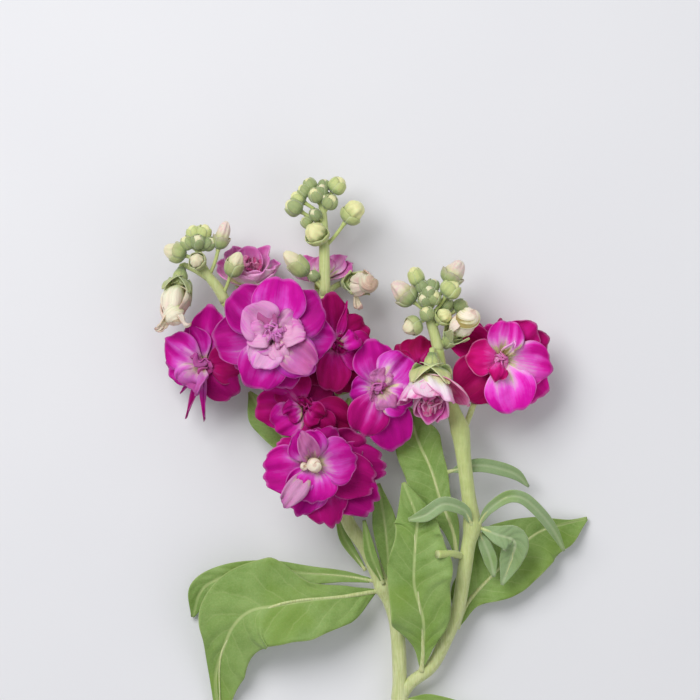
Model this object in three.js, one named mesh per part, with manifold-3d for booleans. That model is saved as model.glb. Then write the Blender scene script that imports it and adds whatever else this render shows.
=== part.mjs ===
// A cut stem of double stock (Matthiola incana), lying on its back blooms and on its cut end.
// Millimetres: +X right, +Y from the cut end to the flowers, +Z up from the surface it lies on.
import * as THREE from 'three';
import { mergeVertices } from 'three/addons/utils/BufferGeometryUtils.js';
import Module from 'manifold-3d';

const library = await Module();
library.setup();

// Driving dimensions.
const SEAT_GAP = 0.3;
const FRAME_SHIFT = [0.5, 0, 0];
const PETAL_THICKNESS = 0.65;
const PETAL_SHOULDER = 0.7;
const PETAL_TIP_REACH = 0.42;
const PETAL_ROUNDING = 0.13;
const CLAW_WIDTH = 0.14;
const STRAP_WIDTH = 5;
const SMALL_WIDTH = 9;
const SHORT_REACH = 12;
const BROAD_WIDTH = 16;
const RUFFLE_TURNS = 5.5;
const LEAF_THICKNESS = 0.7;
const LEAF_WAVE_TURNS = 19;
const CALYX_LENGTH = 6.5;
const CALYX_RADIUS = 2.2;
const CORE_HEIGHT = 5.4;
const CORE_RADIUS = 2.8;
const PEDICEL_RADIUS = 0.95;
const BUD_STALK_RADIUS = 0.7;
const TIP_SIDES = 5;
const ROUND_SIDES = 5;
const STALK_SIDES = 4;
const STALK_STEP = 9;
const STEM_SIDES = 7;
const STEM_STEP = 12;
const SEED = 29;

// Colours.
const STEM_GREEN = 0xb9c384;
const BUD_GREEN = 0x97a873;
const LEAF_GREEN = 0x7a9a48;
const LEAF_SAGE = 0x93a878;
const MAGENTA = 0xc4108c;
const MAGENTA_SHADE = 0x93055a;
const MAGENTA_LIGHT = 0xd24aa8;
const PALE_PINK = 0xe3c2d0;
const CREAM = 0xe6d6c4;

// The stem: a row is x, y, z and radius, from the cut end up, and each branch starts in what bears it.
const MAIN_STEM = [
  [7.2, -109.4, 2.4, 2.4], [8.2, -83, 3.6, 2.35], [8.7, -57.6, 5.2, 2.3], [8.2, -38.4, 6.8, 2.3],
  [6.6, -28.8, 7.6, 2.35], [3.7, -21.8, 8.2, 2.6], [-2.1, -9.6, 9.6, 2.25], [-8, -0.2, 11, 2.2],
  [-11.4, 16, 13, 2.1], [-13.3, 32, 14.5, 2], [-14.2, 48, 15, 1.95], [-14.9, 60.8, 15.2, 1.85],
  [-15.2, 71.7, 15.4, 1.75],
];
const RIGHT_BRANCH = [
  [8.6, -57, 5.2, 1.9], [12.5, -52.2, 5.8, 2], [18.7, -47.3, 7, 2.1], [23.5, -38.1, 9, 2.2],
  [27.2, -28.8, 11, 2.25], [29.3, -16.6, 13.2, 2.3], [30.6, -8, 14.6, 2.3], [31.8, -1.6, 15.6, 2.7],
  [30.6, 7.7, 17, 2.3], [29, 20.2, 18.8, 2.4], [27.8, 29.1, 19.6, 2.9], [25.3, 36.2, 20, 2.2],
  [23.5, 42.2, 20.2, 1.9], [21.9, 48.6, 20.4, 1.8], [21, 54.1, 20.6, 1.75],
];
const LEFT_BRANCH = [
  [-14, 45, 15, 1.5], [-21.6, 53, 16.2, 1.7], [-35.4, 60.8, 17, 1.7], [-42.4, 65.2, 17.3, 1.7],
  [-46.9, 69.8, 17.5, 1.75],
];

// The tips of the three flowering shoots, above the open flowers.
const LEFT_TIP = [
  [-47.25, 70.35, 17.5, 1.75], [-49.4, 74.2, 17.8, 1.7], [-52.1, 77.6, 18, 1.5], [-54.6, 82, 18.2, 1.2],
  [-55.6, 87, 18.4, 0.9], [-55.8, 90, 18.5, 0.6],
];
const MIDDLE_TIP = [
  [-15.21, 72.05, 15.4, 1.75], [-15.4, 82, 15.8, 1.75], [-15.5, 88, 16, 1.7], [-15.9, 97, 16.4, 1.4],
  [-16.2, 102, 16.6, 1], [-16.3, 105, 16.8, 0.6],
];
const RIGHT_TIP = [
  [20.9, 54.45, 20.6, 1.75], [19.8, 59, 20.9, 1.7], [18.3, 64.6, 21.2, 1.6], [17.8, 69, 21.6, 1.3],
  [17.6, 73, 22, 0.8],
];

// Buds: where the stalk starts (x, y, z), the bud's tip (x, y, z), the bud's length and its radius.
const LEFT_BUDS = [
  [-55.4, 87, 18.4, -57.8, 94.2, 18.6, 5, 2.3], [-55.6, 87, 18.4, -53, 94.4, 20, 5, 2.2],
  [-54.6, 82.5, 18.2, -66.4, 87, 18.5, 7.2, 3], [-55.4, 85, 18.4, -60.6, 90.2, 20.8, 4.6, 2],
  [-55.5, 86, 18.4, -55.8, 90.6, 23.4, 4.6, 2], [-55.4, 86, 18.3, -50.6, 89.6, 21, 4.6, 2],
  [-54.4, 81.8, 18.2, -57, 83.6, 24, 5.4, 2.5], [-52, 78.5, 18, -46.6, 95, 20.6, 8.8, 2.4],
  [-48, 71.6, 17.7, -42.4, 85.3, 23.2, 8.4, 2.7],
];
const MIDDLE_BUDS = [
  [-16, 99, 16.5, -21, 109.2, 17, 4.6, 1.9], [-16, 100, 16.5, -23.4, 106.8, 17.8, 4.4, 1.9],
  [-16, 100, 16.5, -19.2, 105.6, 21, 4.8, 2.1], [-16.2, 101, 16.6, -16.2, 107.2, 19.8, 4, 1.6],
  [-16.2, 102, 16.6, -15.3, 109, 16.6, 4, 1.7], [-16, 101, 16.5, -9.4, 109.2, 17.4, 5.8, 2.6],
  [-16, 98, 16.4, -12.4, 103.4, 20.6, 4.8, 2.3], [-15.8, 97, 16.4, -25.8, 104.4, 16.6, 5, 2.3],
  [-15.8, 94, 16.2, -27.6, 101.6, 18.6, 5.8, 2.6], [-15.8, 95, 16.3, -19.4, 98.8, 20.6, 4, 1.7],
  [-15.7, 91, 16.1, -22.6, 96.4, 17.6, 3.8, 1.6], [-15.5, 86.6, 16, -19.4, 94.4, 21.4, 7.4, 3.5],
  [-15.5, 87, 16, -3.8, 101.4, 19.4, 8, 3.3], [-15.4, 74.5, 15.5, -20.2, 79.4, 17.4, 3.8, 1.6],
  [-15.4, 73, 15.5, -28, 85.6, 18.6, 10.2, 2.9],
];
const RIGHT_BUDS = [
  [17.8, 68, 21.6, 12.6, 80.8, 21.6, 6.2, 2.2], [18.2, 65, 21.3, 6.6, 75.6, 20.8, 9, 3.4],
  [17.7, 71, 21.8, 15, 76.6, 22.6, 4.2, 1.9], [17.7, 71, 21.8, 19.8, 77, 22, 4.2, 1.9],
  [17.8, 69, 21.7, 15.6, 71.6, 25.4, 4.4, 2], [17.8, 69, 21.7, 20.6, 72.6, 25, 4.4, 2.1],
  [17.8, 69, 21.6, 18, 74.6, 25, 4.4, 2], [18, 67, 21.4, 28.2, 82.4, 21.6, 8.2, 3.3],
  [18.2, 65, 21.3, 26.8, 76.4, 23.6, 6.2, 2.9], [19, 61.5, 21, 24.2, 66.8, 25, 5.2, 2.5],
  [18.2, 65, 21.3, 10, 60.6, 24, 6.2, 2.9], [18.8, 62, 21.1, 16.6, 67.8, 25.6, 4.6, 2.1],
  [18.6, 63, 21.1, 25, 70.6, 18.6, 5, 2], [19, 61.5, 20.9, 30, 69.8, 17.6, 5, 2.1],
];

// Flowers: where the petals seat, the way the flower faces, where its stalk leaves the stem, and
// its petals: turn in degrees about the face, reach, width, rise and, for a petal that hangs, its knee.
const FLOWERS = [
  {
    name: 'flower_front', seat: [-31, 59.2, 28.5], face: [0, 0, 1], stalk: [-21.6, 53, 16.2],
    arch: 3, colour: MAGENTA,
    petals: [
      [134, 19.4, 15.5, 5.5], [83, 18.2, 14.5, 3.5], [40, 18.6, 15.5, 5.5], [-3, 18.9, 15.5, 3.5],
      [-46, 16.9, 13, 6], [-78, 17.7, 13, 3], [-112, 18.6, 15, 5.5], [186, 20, 15.5, 3],
      [130, 11, 7.5, 8], [232, 10.5, 8, 7.6], [50, 9.5, 7, 8], [5, 9.5, 6.5, 10.4],
      [300, 9, 6.5, 8.4], [180, 9.5, 6, 10.4],
    ],
  },
  {
    name: 'flower_low', seat: [-18.7, 18.2, 25], face: [0.05, -0.05, 1], stalk: [-11, 14, 12.8],
    arch: 3, colour: MAGENTA,
    petals: [
      [190, 16.6, 15, 5.5], [112, 12, 12, 8], [12, 13.2, 14.5, 8], [266, 12, 14, 8],
      [250, 16.5, 14, 3.5], [286, 20.5, 14, 2], [324, 24, 15, 1], [342, 20.5, 14, 3.5],
      [358, 23, 14, -1], [228, 12, 8, 7], [148, 13, 11.5, 2.6], [60, 13, 12.5, 4],
    ],
  },
  {
    name: 'flower_left', seat: [-52.6, 50.6, 12], face: [-0.35, -0.2, 0.9], stalk: [-35.4, 60.8, 16.6],
    arch: 2.5, colour: MAGENTA,
    petals: [
      [148, 14.5, 12, 5], [193, 13.5, 11, 2.4], [225, 9, 7, 7], [266, 8, 7, 9.6],
      [250, 19.3, 3, 2.5], [271, 18.4, 3.2, 4], [229, 14.6, 2.6, 0.4], [-41, 14.5, 12, 3],
      [6, 13, 12, 4], [84, 19, 11, 1.4], [117, 13, 11.5, 2.6], [48, 15.5, 12, 0], [165, 10, 9, -9.7, 11, 1],
    ],
  },
  {
    name: 'flower_upper_right', seat: [-13.6, 56, 19.5], face: [0.4, 0, 0.92], stalk: [-14.4, 52, 15],
    arch: 2.5, colour: MAGENTA_SHADE,
    petals: [
      [97, 16.6, 11, 3], [76, 14, 4, 5.4], [35, 13, 11, 3.6], [-14, 13, 12, 5],
      [-70, 16.5, 13, 2.4], [-98, 15, 11, 4.4], [238, 15, 11, 0.4], [20, 7, 5, 8.5],
    ],
  },
  {
    name: 'flower_centre', seat: [-21.6, 36.8, 19], face: [0, -0.1, 1], stalk: [-13.4, 33, 14.5],
    arch: 2, colour: MAGENTA_SHADE,
    petals: [
      [182, 16, 12.5, 3.5], [215, 12, 11, 5], [-22, 16, 12.5, 3], [-57, 13, 12, 5],
      [255, 12, 10, 1.2], [124, 12.4, 12, 3.8], [58, 12, 10.5, 0.2], [330, 7, 6, 7], [200, 7, 6, 7],
    ],
  },
  {
    name: 'flower_beside_stem', seat: [1.1, 42.6, 18.5], face: [0.2, -0.1, 0.97],
    stalk: [-13.9, 40, 14.8], arch: 2.5, colour: MAGENTA,
    petals: [
      [99, 15.6, 13, 2.6], [48, 14, 13, 5.2], [-34, 11.5, 10.5, 5.5], [-73, 21, 14, 2.5],
      [247, 16, 13, 4.5], [192, 8.8, 10, 1.6], [80, 7, 6, 7], [300, 7, 6, 7],
    ],
  },
  {
    name: 'flower_right', seat: [40.2, 52.2, 13.5], face: [0.15, -0.1, 0.98], stalk: [28.4, 27, 19.4],
    arch: 2.5, colour: MAGENTA,
    petals: [
      [80, 12.5, 11, 6], [43, 15.5, 12.5, 3.8], [20, 17, 12, 1.6], [-11, 16.6, 14, 5.4],
      [-42, 19, 14, 3], [-75, 18, 15.5, 6.4], [175, 11.5, 11, 6], [222, 18, 16, 1.5],
      [151, 18.5, 11, 0.4], [124, 20.5, 3.4, -1], [59, 7, 5, 9], [250, 7, 6, 8], [60, 10, 9, -14, 11, 1],
    ],
  },
  {
    name: 'flower_behind_branch', seat: [15.2, 47.4, 10], face: [-0.2, 0.4, 0.9], stalk: [23, 43, 20.2],
    arch: 2.5, colour: MAGENTA_SHADE,
    petals: [[125, 11, 12, 2.6], [82, 10, 11, 5], [172, 8, 8, 5], [40, 8, 9, 2.6], [215, 7, 8, 2.6]],
  },
  {
    name: 'flower_half_open', seat: [18.6, 46.8, 28.5], face: [-0.05, -0.95, 0.26], stalk: [22.4, 46.5, 20.3],
    knee: [0.85, 0.35], cup: 0.2, ruffle: 0.6, colour: PALE_PINK, sepals: [7.4, 3, 8],
    petals: [
      [-4, 12.6, 10, 9.5], [38, 9, 10.5, 10.5], [90, 8.4, 12, 9.6], [141, 9, 10.5, 10.5], [183, 10, 10, 10.5],
      [228, 5.5, 8.8, 13.5], [270, 4, 8.8, 15], [314, 5.5, 8.8, 14.5],
    ],
  },
  {
    name: 'flower_top_left', seat: [-39.5, 75.5, 9], face: [0, 0.86, 0.5], stalk: [-44.5, 67.5, 17.4],
    knee: [0.85, 0.4], cup: 0.25, colour: MAGENTA_LIGHT, sepals: [5.6, 2, 4],
    petals: [
      [180, 10.4, 9.5, 7.5], [145, 7.5, 8.8, 11], [0, 9.8, 9.5, 7], [35, 7.5, 8.8, 11], [270, 6.5, 9.5, 8.5],
      [90, 4.5, 8.8, 11.5], [225, 8, 10, 8.5], [315, 8.4, 10, 8.5],
    ],
  },
  {
    name: 'flower_top_middle', seat: [-16.2, 74.5, 5.5], face: [0, 0.9, 0.43], stalk: [-15, 66, 15.3],
    knee: [0.6, 0.5], cup: 0.2, colour: MAGENTA_LIGHT,
    petals: [
      [180, 10.2, 11, 6.5], [150, 8, 10, 9], [0, 10, 9, 8], [28, 8, 9, 9.5], [90, 5, 8, 9],
    ],
  },
  {
    name: 'opening_bud_left', seat: [-62, 74.6, 17], face: [-0.15, -0.85, 0.5], stalk: [-52.3, 77.6, 18],
    bearer: 'buds_left', knee: [1.75, 0.4], cup: 0.5, ruffle: 0.3, colour: CREAM, sepals: [5.6, 4, 4.5],
    petals: [
      [0, 4.4, 8.5, 11], [92, 3.6, 9, 11.5], [180, 4.4, 8.5, 11], [272, 3.4, 8.5, 13.5], [225, 6.4, 5, 13],
    ],
  },
  {
    name: 'opening_bud_middle', seat: [-5.6, 75.8, 14.5], face: [0.55, 0, 0.83], stalk: [-15.2, 72.6, 15.4],
    bearer: 'buds_middle', knee: [1.6, 0.4], cup: 0.5, ruffle: 0.2, colour: CREAM, sepals: [4.6, 3, 4],
    petals: [
      [20, 3.8, 7.8, 8], [110, 3, 7.6, 8.8], [200, 3.8, 7.8, 8], [290, 3, 7.6, 8.8], [268, 7, 4, 4.6],
    ],
  },
  {
    name: 'opening_bud_right', seat: [26.4, 59.8, 22], face: [0.5, 0.6, 0.62], stalk: [20.4, 56.8, 20.8],
    bearer: 'buds_right', knee: [1.5, 0.4], cup: 0.5, ruffle: 0.2, colour: CREAM, sepals: [4.2, 3, 4],
    petals: [
      [0, 4, 7.5, 8.6], [90, 3, 7.5, 9.6], [180, 4, 7.5, 8.6], [270, 3, 7.5, 9.6],
    ],
  },
];

// Leaves: along the midrib, a point (x, y, z) and the half widths to the left and to the right of it.
const LEAVES = [
  {
    name: 'leaf_lower_left', wave: 1.1, fold: 0.1, colour: LEAF_GREEN, cells: [4, 13],
    midrib: [
      [0.6, -23, 9, 0.9, 0.9], [-7.8, -24.3, 11.5, 8.6, 3.2], [-19, -25.3, 14.5, 12.4, 5.4],
      [-30.2, -27.2, 16, 12.2, 15.2], [-39.2, -29.1, 15.5, 13, 15], [-44.3, -33.6, 13.5, 12.5, 12.4],
      [-47.7, -41, 10, 9.5, 7], [-50.4, -49.9, 6, 9.5, 2], [-49.8, -58.6, 3, 4.8, 1.2],
      [-47.5, -69.8, 1.2, 0.5, 0.5],
    ],
  },
  {
    name: 'leaf_lower_left_behind', wave: 0.5, fold: 0.1, colour: LEAF_GREEN, cells: [2, 9],
    midrib: [
      [-0.9, -19.4, 8.6, 0.8, 0.8], [-8.8, -18, 9, 2, 1.6], [-20, -17.2, 9, 3.5, 2.4],
      [-32.8, -16, 8, 4.5, 3], [-46.4, -17.8, 6, 5, 3.6], [-54.6, -22.4, 4, 4.5, 4],
      [-57.8, -31.4, 2, 0.5, 0.5],
    ],
  },
  {
    name: 'leaf_centre', wave: 1, fold: 0.14, colour: LEAF_GREEN, cells: [4, 11],
    midrib: [
      [15.8, -47, 9, 0.8, 0.8], [16.2, -41, 12, 2.9, 3.2], [16.2, -32, 16, 9.9, 8.6],
      [13.3, -20.8, 19, 8.6, 12.2], [13.3, -12.5, 20.5, 8, 11.8], [13.9, -4.2, 21, 6.7, 8.6],
      [14.2, 0.3, 21, 7.3, 5.8], [9.8, 12.2, 20, 0.5, 0.5],
    ],
  },
  {
    name: 'leaf_upper', wave: 0.8, fold: 0.1, colour: LEAF_GREEN, cells: [4, 9],
    midrib: [
      [26.8, -10.6, 14, 0.7, 0.7], [25.1, -0.6, 14, 4, 2.5], [21.9, 5.8, 14, 7, 3.5],
      [19, 15.7, 13, 9, 5], [14.6, 25.3, 12, 7.5, 7], [11.5, 36, 10, 0.5, 0.5],
    ],
  },
  {
    name: 'leaf_right', wave: 1, fold: 0.1, colour: LEAF_GREEN, cells: [4, 11],
    midrib: [
      [27.7, -33.4, 7.6, 0.8, 0.8], [31.5, -25, 6.4, 7, 4], [38.2, -18.2, 6.4, 10, 9.3],
      [45.6, -10.9, 6, 12.5, 11], [53, -4.2, 5, 5.5, 10], [61.9, -1.3, 3.5, 1.3, 7.5],
      [69, 0.3, 1.5, 0.5, 0.5],
    ],
  },
  {
    name: 'leaf_small_left', wave: 0.3, fold: 0.3, colour: LEAF_SAGE, cells: [2, 7],
    midrib: [
      [31.2, -0.4, 18.9, 0.7, 0.7], [29.3, 3.2, 21.5, 1.8, 1.8], [22.6, 5.4, 24.5, 2.3, 2.3],
      [16.8, 1.9, 24.8, 2.2, 2.2], [11.4, 0.3, 24, 0.5, 0.5],
    ],
  },
  {
    name: 'leaf_small_right', wave: 0.3, fold: 0.3, colour: LEAF_SAGE, cells: [2, 9],
    midrib: [
      [34.4, -0.6, 17.4, 0.7, 0.7], [37.3, 3.8, 21, 1.6, 1.6], [43.4, 7.7, 23, 2, 2],
      [47.5, 7.4, 23, 2, 2], [53, 2.9, 20, 1.9, 1.9], [57.8, -3.2, 15, 1.6, 1.6],
      [61.4, -9.9, 10, 0.4, 0.4],
    ],
  },
  {
    name: 'leaf_small_folded', wave: 0.4, fold: 0.2, colour: LEAF_SAGE, cells: [2, 7],
    midrib: [
      [34.9, -2.6, 16, 0.7, 0.7], [39.8, -4.5, 18, 3, 3], [45.3, -6.7, 17, 4.5, 4.5],
      [44, -13.4, 13.5, 3.5, 3.5], [41.4, -20.8, 12, 0.5, 0.5],
    ],
  },
  {
    name: 'leaf_small_low', wave: 0.3, fold: 0.2, colour: LEAF_SAGE, cells: [2, 5],
    midrib: [
      [34.4, -4.6, 13.6, 0.7, 0.7], [35.7, -7.4, 14, 2, 2], [37.6, -12.2, 13, 2.2, 2.2],
      [38.9, -18.2, 11.5, 0.5, 0.5],
    ],
  },
  {
    name: 'leaf_behind_branch', wave: 0.3, fold: 0.2, colour: LEAF_SAGE, cells: [2, 7],
    midrib: [
      [25.6, 15.8, 14.6, 0.6, 0.6], [28.9, 16.7, 15, 1.8, 1.8], [34.1, 17.6, 14.6, 2.2, 2.2],
      [41.4, 16.3, 12, 2.2, 2.2], [46.2, 14.4, 10, 1.8, 1.8], [50.1, 10.6, 7, 0.4, 0.4],
    ],
  },
  {
    name: 'leaf_flower_side', wave: 0.6, fold: 0.15, colour: LEAF_GREEN, cells: [2, 7],
    midrib: [
      [-12.3, 3.4, 10.4, 0.8, 0.8], [-23.2, 20.8, 10, 4, 4], [-34.4, 32.6, 9, 5, 5],
      [-39.5, 41, 6, 0.5, 0.5],
    ],
  },
  {
    name: 'leaf_node_tall', wave: 0.6, fold: 0.15, colour: LEAF_GREEN, cells: [2, 7],
    midrib: [
      [5.6, -18.5, 10.4, 0.8, 0.8], [5, -12.8, 12.5, 2.5, 2.5], [4, -1.6, 15, 4, 3.8],
      [1.8, 11.8, 17, 0.6, 0.6],
    ],
  },
  {
    name: 'leaf_node_front', wave: 0.2, fold: 0.3, colour: LEAF_GREEN, cells: [2, 5],
    midrib: [
      [3, -19.2, 11.7, 0.7, 0.7], [-0.5, -11.2, 15, 1.9, 1.9], [-2.7, 0, 17.5, 0.5, 0.5],
    ],
  },
  {
    name: 'leaf_node_back', wave: 0.2, fold: 0.3, colour: LEAF_GREEN, cells: [2, 5],
    midrib: [
      [-3.1, -15, 7.6, 0.6, 0.6], [-8.8, -6.4, 7.4, 1.6, 1.6], [-11.5, 1, 7, 0.4, 0.4],
    ],
  },
  {
    name: 'leaf_among_flowers', wave: 0.2, fold: 0.3, colour: LEAF_GREEN, cells: [2, 4],
    midrib: [
      [-9.5, 25.4, 14.6, 0.7, 0.7], [-9, 33.6, 16.2, 2, 2], [-7.4, 39, 16.4, 0.5, 0.5],
    ],
  },
  {
    name: 'leaf_bottom_right', wave: 0.3, fold: 0.2, colour: LEAF_GREEN, cells: [2, 6],
    midrib: [
      [11.6, -58, 5.4, 0.8, 0.8], [18.4, -58.5, 6, 2.6, 2.6], [31.2, -62.4, 5, 2.6, 2.6],
      [39.8, -68.8, 2.5, 0.5, 0.5],
    ],
  },
];

let seedState = SEED;

// A repeatable number between 0 and 1, for the phases of the ruffles and waves.
function chance() {
  seedState = (seedState * 1664525 + 1013904223) % 4294967296;
  return seedState / 4294967296;
}

// A closed solid for joining, from a geometry whose shared vertices are merged first.
function solidOf(geometry) {
  const bare = geometry.clone();
  bare.deleteAttribute('normal');
  bare.deleteAttribute('uv');
  const merged = mergeVertices(bare, 1e-4);
  return new library.Manifold(new library.Mesh({
    numProp: 3,
    vertProperties: new Float32Array(merged.attributes.position.array),
    triVerts: new Uint32Array(merged.index.array),
  }));
}

// Joins the pieces into one body: a loose scrap is dropped and a sealed hollow is filled.
function fuse(geometries) {
  const whole = geometries.map(solidOf).reduce((joined, piece) => joined.add(piece));
  return whole.decompose().reduce((best, body) => (body.volume() > best.volume() ? body : best));
}

function geometryOf(solid) {
  const { vertProperties, triVerts } = solid.getMesh();
  const geometry = new THREE.BufferGeometry();
  geometry.setAttribute('position', new THREE.BufferAttribute(vertProperties, 3));
  geometry.setIndex(new THREE.BufferAttribute(triVerts, 1));
  return geometry;
}

// A round piece along a curve: a cylinder's rings are laid along it at the radii in the rows.
function branch(rows, sides, step) {
  const curve = new THREE.CatmullRomCurve3(rows.map(([x, y, z]) => new THREE.Vector3(x, y, z)));
  const steps = Math.max(1, Math.round(curve.getLength() / step));
  const frames = curve.computeFrenetFrames(steps);
  const geometry = new THREE.CylinderGeometry(1, 1, 1, sides, steps);
  const position = geometry.attributes.position;
  for (let i = 0; i < position.count; i += 1) {
    const ring = Math.round((position.getY(i) + 0.5) * steps);
    const along = curve.getUtoTmapping(ring / steps) * (rows.length - 1);
    const before = Math.min(Math.floor(along), rows.length - 2);
    const radius = THREE.MathUtils.lerp(rows[before][3], rows[before + 1][3], along - before);
    const point = curve.getPointAt(ring / steps);
    point.addScaledVector(frames.normals[ring], position.getZ(i) * radius);
    point.addScaledVector(frames.binormals[ring], position.getX(i) * radius);
    position.setXYZ(i, point.x, point.y, point.z);
  }
  return geometry;
}

// The triangles between two neighbouring rows of a blade, which may have different numbers of cells.
function strip(low, high) {
  const faces = [];
  let i = 0;
  let j = 0;
  while (i < low.length - 1 || j < high.length - 1) {
    const lowNext = (i + 1) / (low.length - 1);
    const highNext = (j + 1) / (high.length - 1);
    if (highNext <= lowNext) {
      faces.push(low[i], high[j + 1], high[j]);
      j += 1;
    } else {
      faces.push(low[i], low[i + 1], high[j]);
      i += 1;
    }
  }
  return faces;
}

// A thin closed blade round a middle surface. It has a row of points for each entry in cells, which
// says how many cells lie across there. Both faces are split alike, and a rim joins them.
function blade(surface, cells, thickness) {
  const rows = [];
  const points = [];
  cells.forEach((across, k) => {
    rows.push([]);
    for (let i = 0; i <= across; i += 1) {
      rows[k].push(points.length);
      points.push(surface(k / (cells.length - 1), (2 * i) / across - 1));
    }
  });
  const count = points.length;
  const corners = [0.5, -0.5].flatMap((side) => points.map(
    ({ point, normal }) => point.clone().addScaledVector(normal, side * thickness),
  ));
  const front = rows.slice(1).flatMap((row, k) => strip(rows[k], row));
  const back = front.map((corner) => corner + count).reverse();
  const left = rows.slice(1, -1).map((row) => row[0]).reverse();
  const right = rows.slice(1, -1).map((row) => row.at(-1));
  const rim = [...rows[0], ...right, ...rows.at(-1).slice().reverse(), ...left];
  const sides = rim.flatMap((a, i) => {
    const b = rim[(i + 1) % rim.length];
    return [a, a + count, b, b, a + count, b + count];
  });
  const geometry = new THREE.BufferGeometry().setFromPoints(corners);
  geometry.setIndex([...front, ...back, ...sides]);
  return geometry;
}

// A middle surface with its normal, from a function of how far along and how far across it is.
function surfaceOf(pointAt) {
  const nudge = 0.01;
  return (along, across) => {
    const point = pointAt(along, across);
    const lengthwise = pointAt(along + nudge, across).sub(pointAt(along - nudge, across));
    const crosswise = pointAt(along, across + nudge).sub(pointAt(along, across - nudge));
    return { point, normal: crosswise.cross(lengthwise).normalize() };
  };
}

// A petal's width along its length, as a part of the widest: a narrow claw, then a broad round limb.
function petalWidth(along) {
  if (along > PETAL_SHOULDER) {
    return Math.sqrt(1 - ((along - PETAL_SHOULDER) / PETAL_TIP_REACH) ** 2);
  }
  const swell = Math.sin((Math.PI / 2) * (Math.max(along, 0) / PETAL_SHOULDER)) ** 1.6;
  return CLAW_WIDTH + (1 - CLAW_WIDTH) * swell;
}

// How many cells lie across a petal in each of its rows.
function petalCells(width, reach) {
  if (width < STRAP_WIDTH) return [1, 1, 1, 1];
  if (width < SMALL_WIDTH && reach < SHORT_REACH) return [1, 2, 3];
  return width < BROAD_WIDTH ? [1, 2, 3, 3] : [1, 2, 4, 4];
}

// One petal about the flower's face, with its root sunk in the flower's middle.
function petal(row, flower) {
  const [turn, reach, width, rise, kneeOut, kneeUp] = row;
  const { arch = 0, knee = [0.35, 1], cup = 0.08, ruffle = 0.6 } = flower;
  const spine = new THREE.QuadraticBezierCurve(
    new THREE.Vector2(0.8, 0.8 + 0.4 * Math.min(Math.max(rise * knee[1], 0), 8)),
    new THREE.Vector2(kneeOut ?? reach * knee[0], kneeUp ?? rise * knee[1] + arch),
    new THREE.Vector2(reach, rise),
  );
  const phase = chance() * Math.PI * 2;
  const cells = petalCells(width, reach);
  const surface = surfaceOf((along, across) => {
    const place = along * (1 - PETAL_ROUNDING * across ** 2);
    const half = (width / 2) * petalWidth(along);
    const frill = ruffle * Math.sin(across * RUFFLE_TURNS + phase) * place ** 2;
    const lift = frill + cup * half * across ** 2;
    const point = spine.getPoint(place);
    const tangent = spine.getPoint(place + 0.01).sub(spine.getPoint(place - 0.01)).normalize();
    return new THREE.Vector3(point.x - tangent.y * lift, across * half, point.y + tangent.x * lift);
  });
  return blade(surface, cells, PETAL_THICKNESS).rotateZ(THREE.MathUtils.degToRad(turn));
}

// A turned piece with its axis along +Z, from radii and heights that start and end on the axis.
function turned(profile, sides) {
  const geometry = new THREE.LatheGeometry(profile.map(([r, h]) => new THREE.Vector2(r, h)), sides);
  return geometry.rotateX(Math.PI / 2);
}

// The firm middle of a flower, which the petals' claws are sunk in.
function core({ petals, cup = 0 }) {
  const closed = cup > 0.4;
  const radius = closed ? 0.8 * CORE_RADIUS : CORE_RADIUS;
  const height = closed ? 0.75 * Math.max(...petals.map((row) => row[3])) : CORE_HEIGHT;
  const profile = [[0, 0], [1, 0.4], [0, 1]];
  return turned(profile.map(([r, h]) => [r * radius, h * height]), ROUND_SIDES);
}

// The green cup that a flower seats on, a small gap below the petals.
function calyx() {
  const profile = [[0, -1], [1, -0.45], [0.9, 0], [0, 0]];
  const cup = turned(profile.map(([r, h]) => [r * CALYX_RADIUS, h * CALYX_LENGTH]), ROUND_SIDES);
  return cup.translate(0, 0, -SEAT_GAP);
}

// A sepal outside the petals, from the calyx.
function sepal(turn, [reach, rise, width]) {
  const spine = new THREE.QuadraticBezierCurve(
    new THREE.Vector2(0.8, -2.2),
    new THREE.Vector2(reach * 0.75, -1.6),
    new THREE.Vector2(reach, rise),
  );
  const surface = surfaceOf((along, across) => {
    const point = spine.getPoint(along);
    const half = (width / 2) * Math.sqrt(Math.max(1.02 - along ** 2, 0.02));
    return new THREE.Vector3(point.x - 0.12 * half * across * across, across * half, point.y);
  });
  return blade(surface, [1, 2, 1], PETAL_THICKNESS).rotateZ(THREE.MathUtils.degToRad(turn));
}

// Where a flower stands and which way it faces.
function placeOf(flower) {
  const face = new THREE.Vector3(...flower.face).normalize();
  const right = new THREE.Vector3(1, 0, 0).addScaledVector(face, -face.x).normalize();
  const up = face.clone().cross(right);
  return new THREE.Matrix4().makeBasis(right, up, face).setPosition(...flower.seat);
}

// The green pieces under a flower: its stalk, its calyx and, where it shows them, its sepals.
function greenOf(flower) {
  const place = placeOf(flower);
  const foot = new THREE.Vector3(0, 0, -CALYX_LENGTH * 0.9).applyMatrix4(place);
  const lead = new THREE.Vector3(0, 0, -CALYX_LENGTH - 1.6).applyMatrix4(place);
  const route = [new THREE.Vector3(...flower.stalk), lead, foot];
  if (route[0].distanceTo(foot) < 5) route.splice(1, 1);
  const stalk = branch(route.map((point) => [...point.toArray(), PEDICEL_RADIUS]), STALK_SIDES, STALK_STEP);
  const sepals = flower.sepals ? [45, 135, 225, 315].map((turn) => sepal(turn, flower.sepals)) : [];
  return [stalk, ...[calyx(), ...sepals].map((piece) => piece.applyMatrix4(place))];
}

function petalsOf(flower) {
  const place = placeOf(flower);
  const pieces = [core(flower), ...flower.petals.map((row) => petal(row, flower))];
  return pieces.map((piece) => piece.applyMatrix4(place));
}

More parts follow.
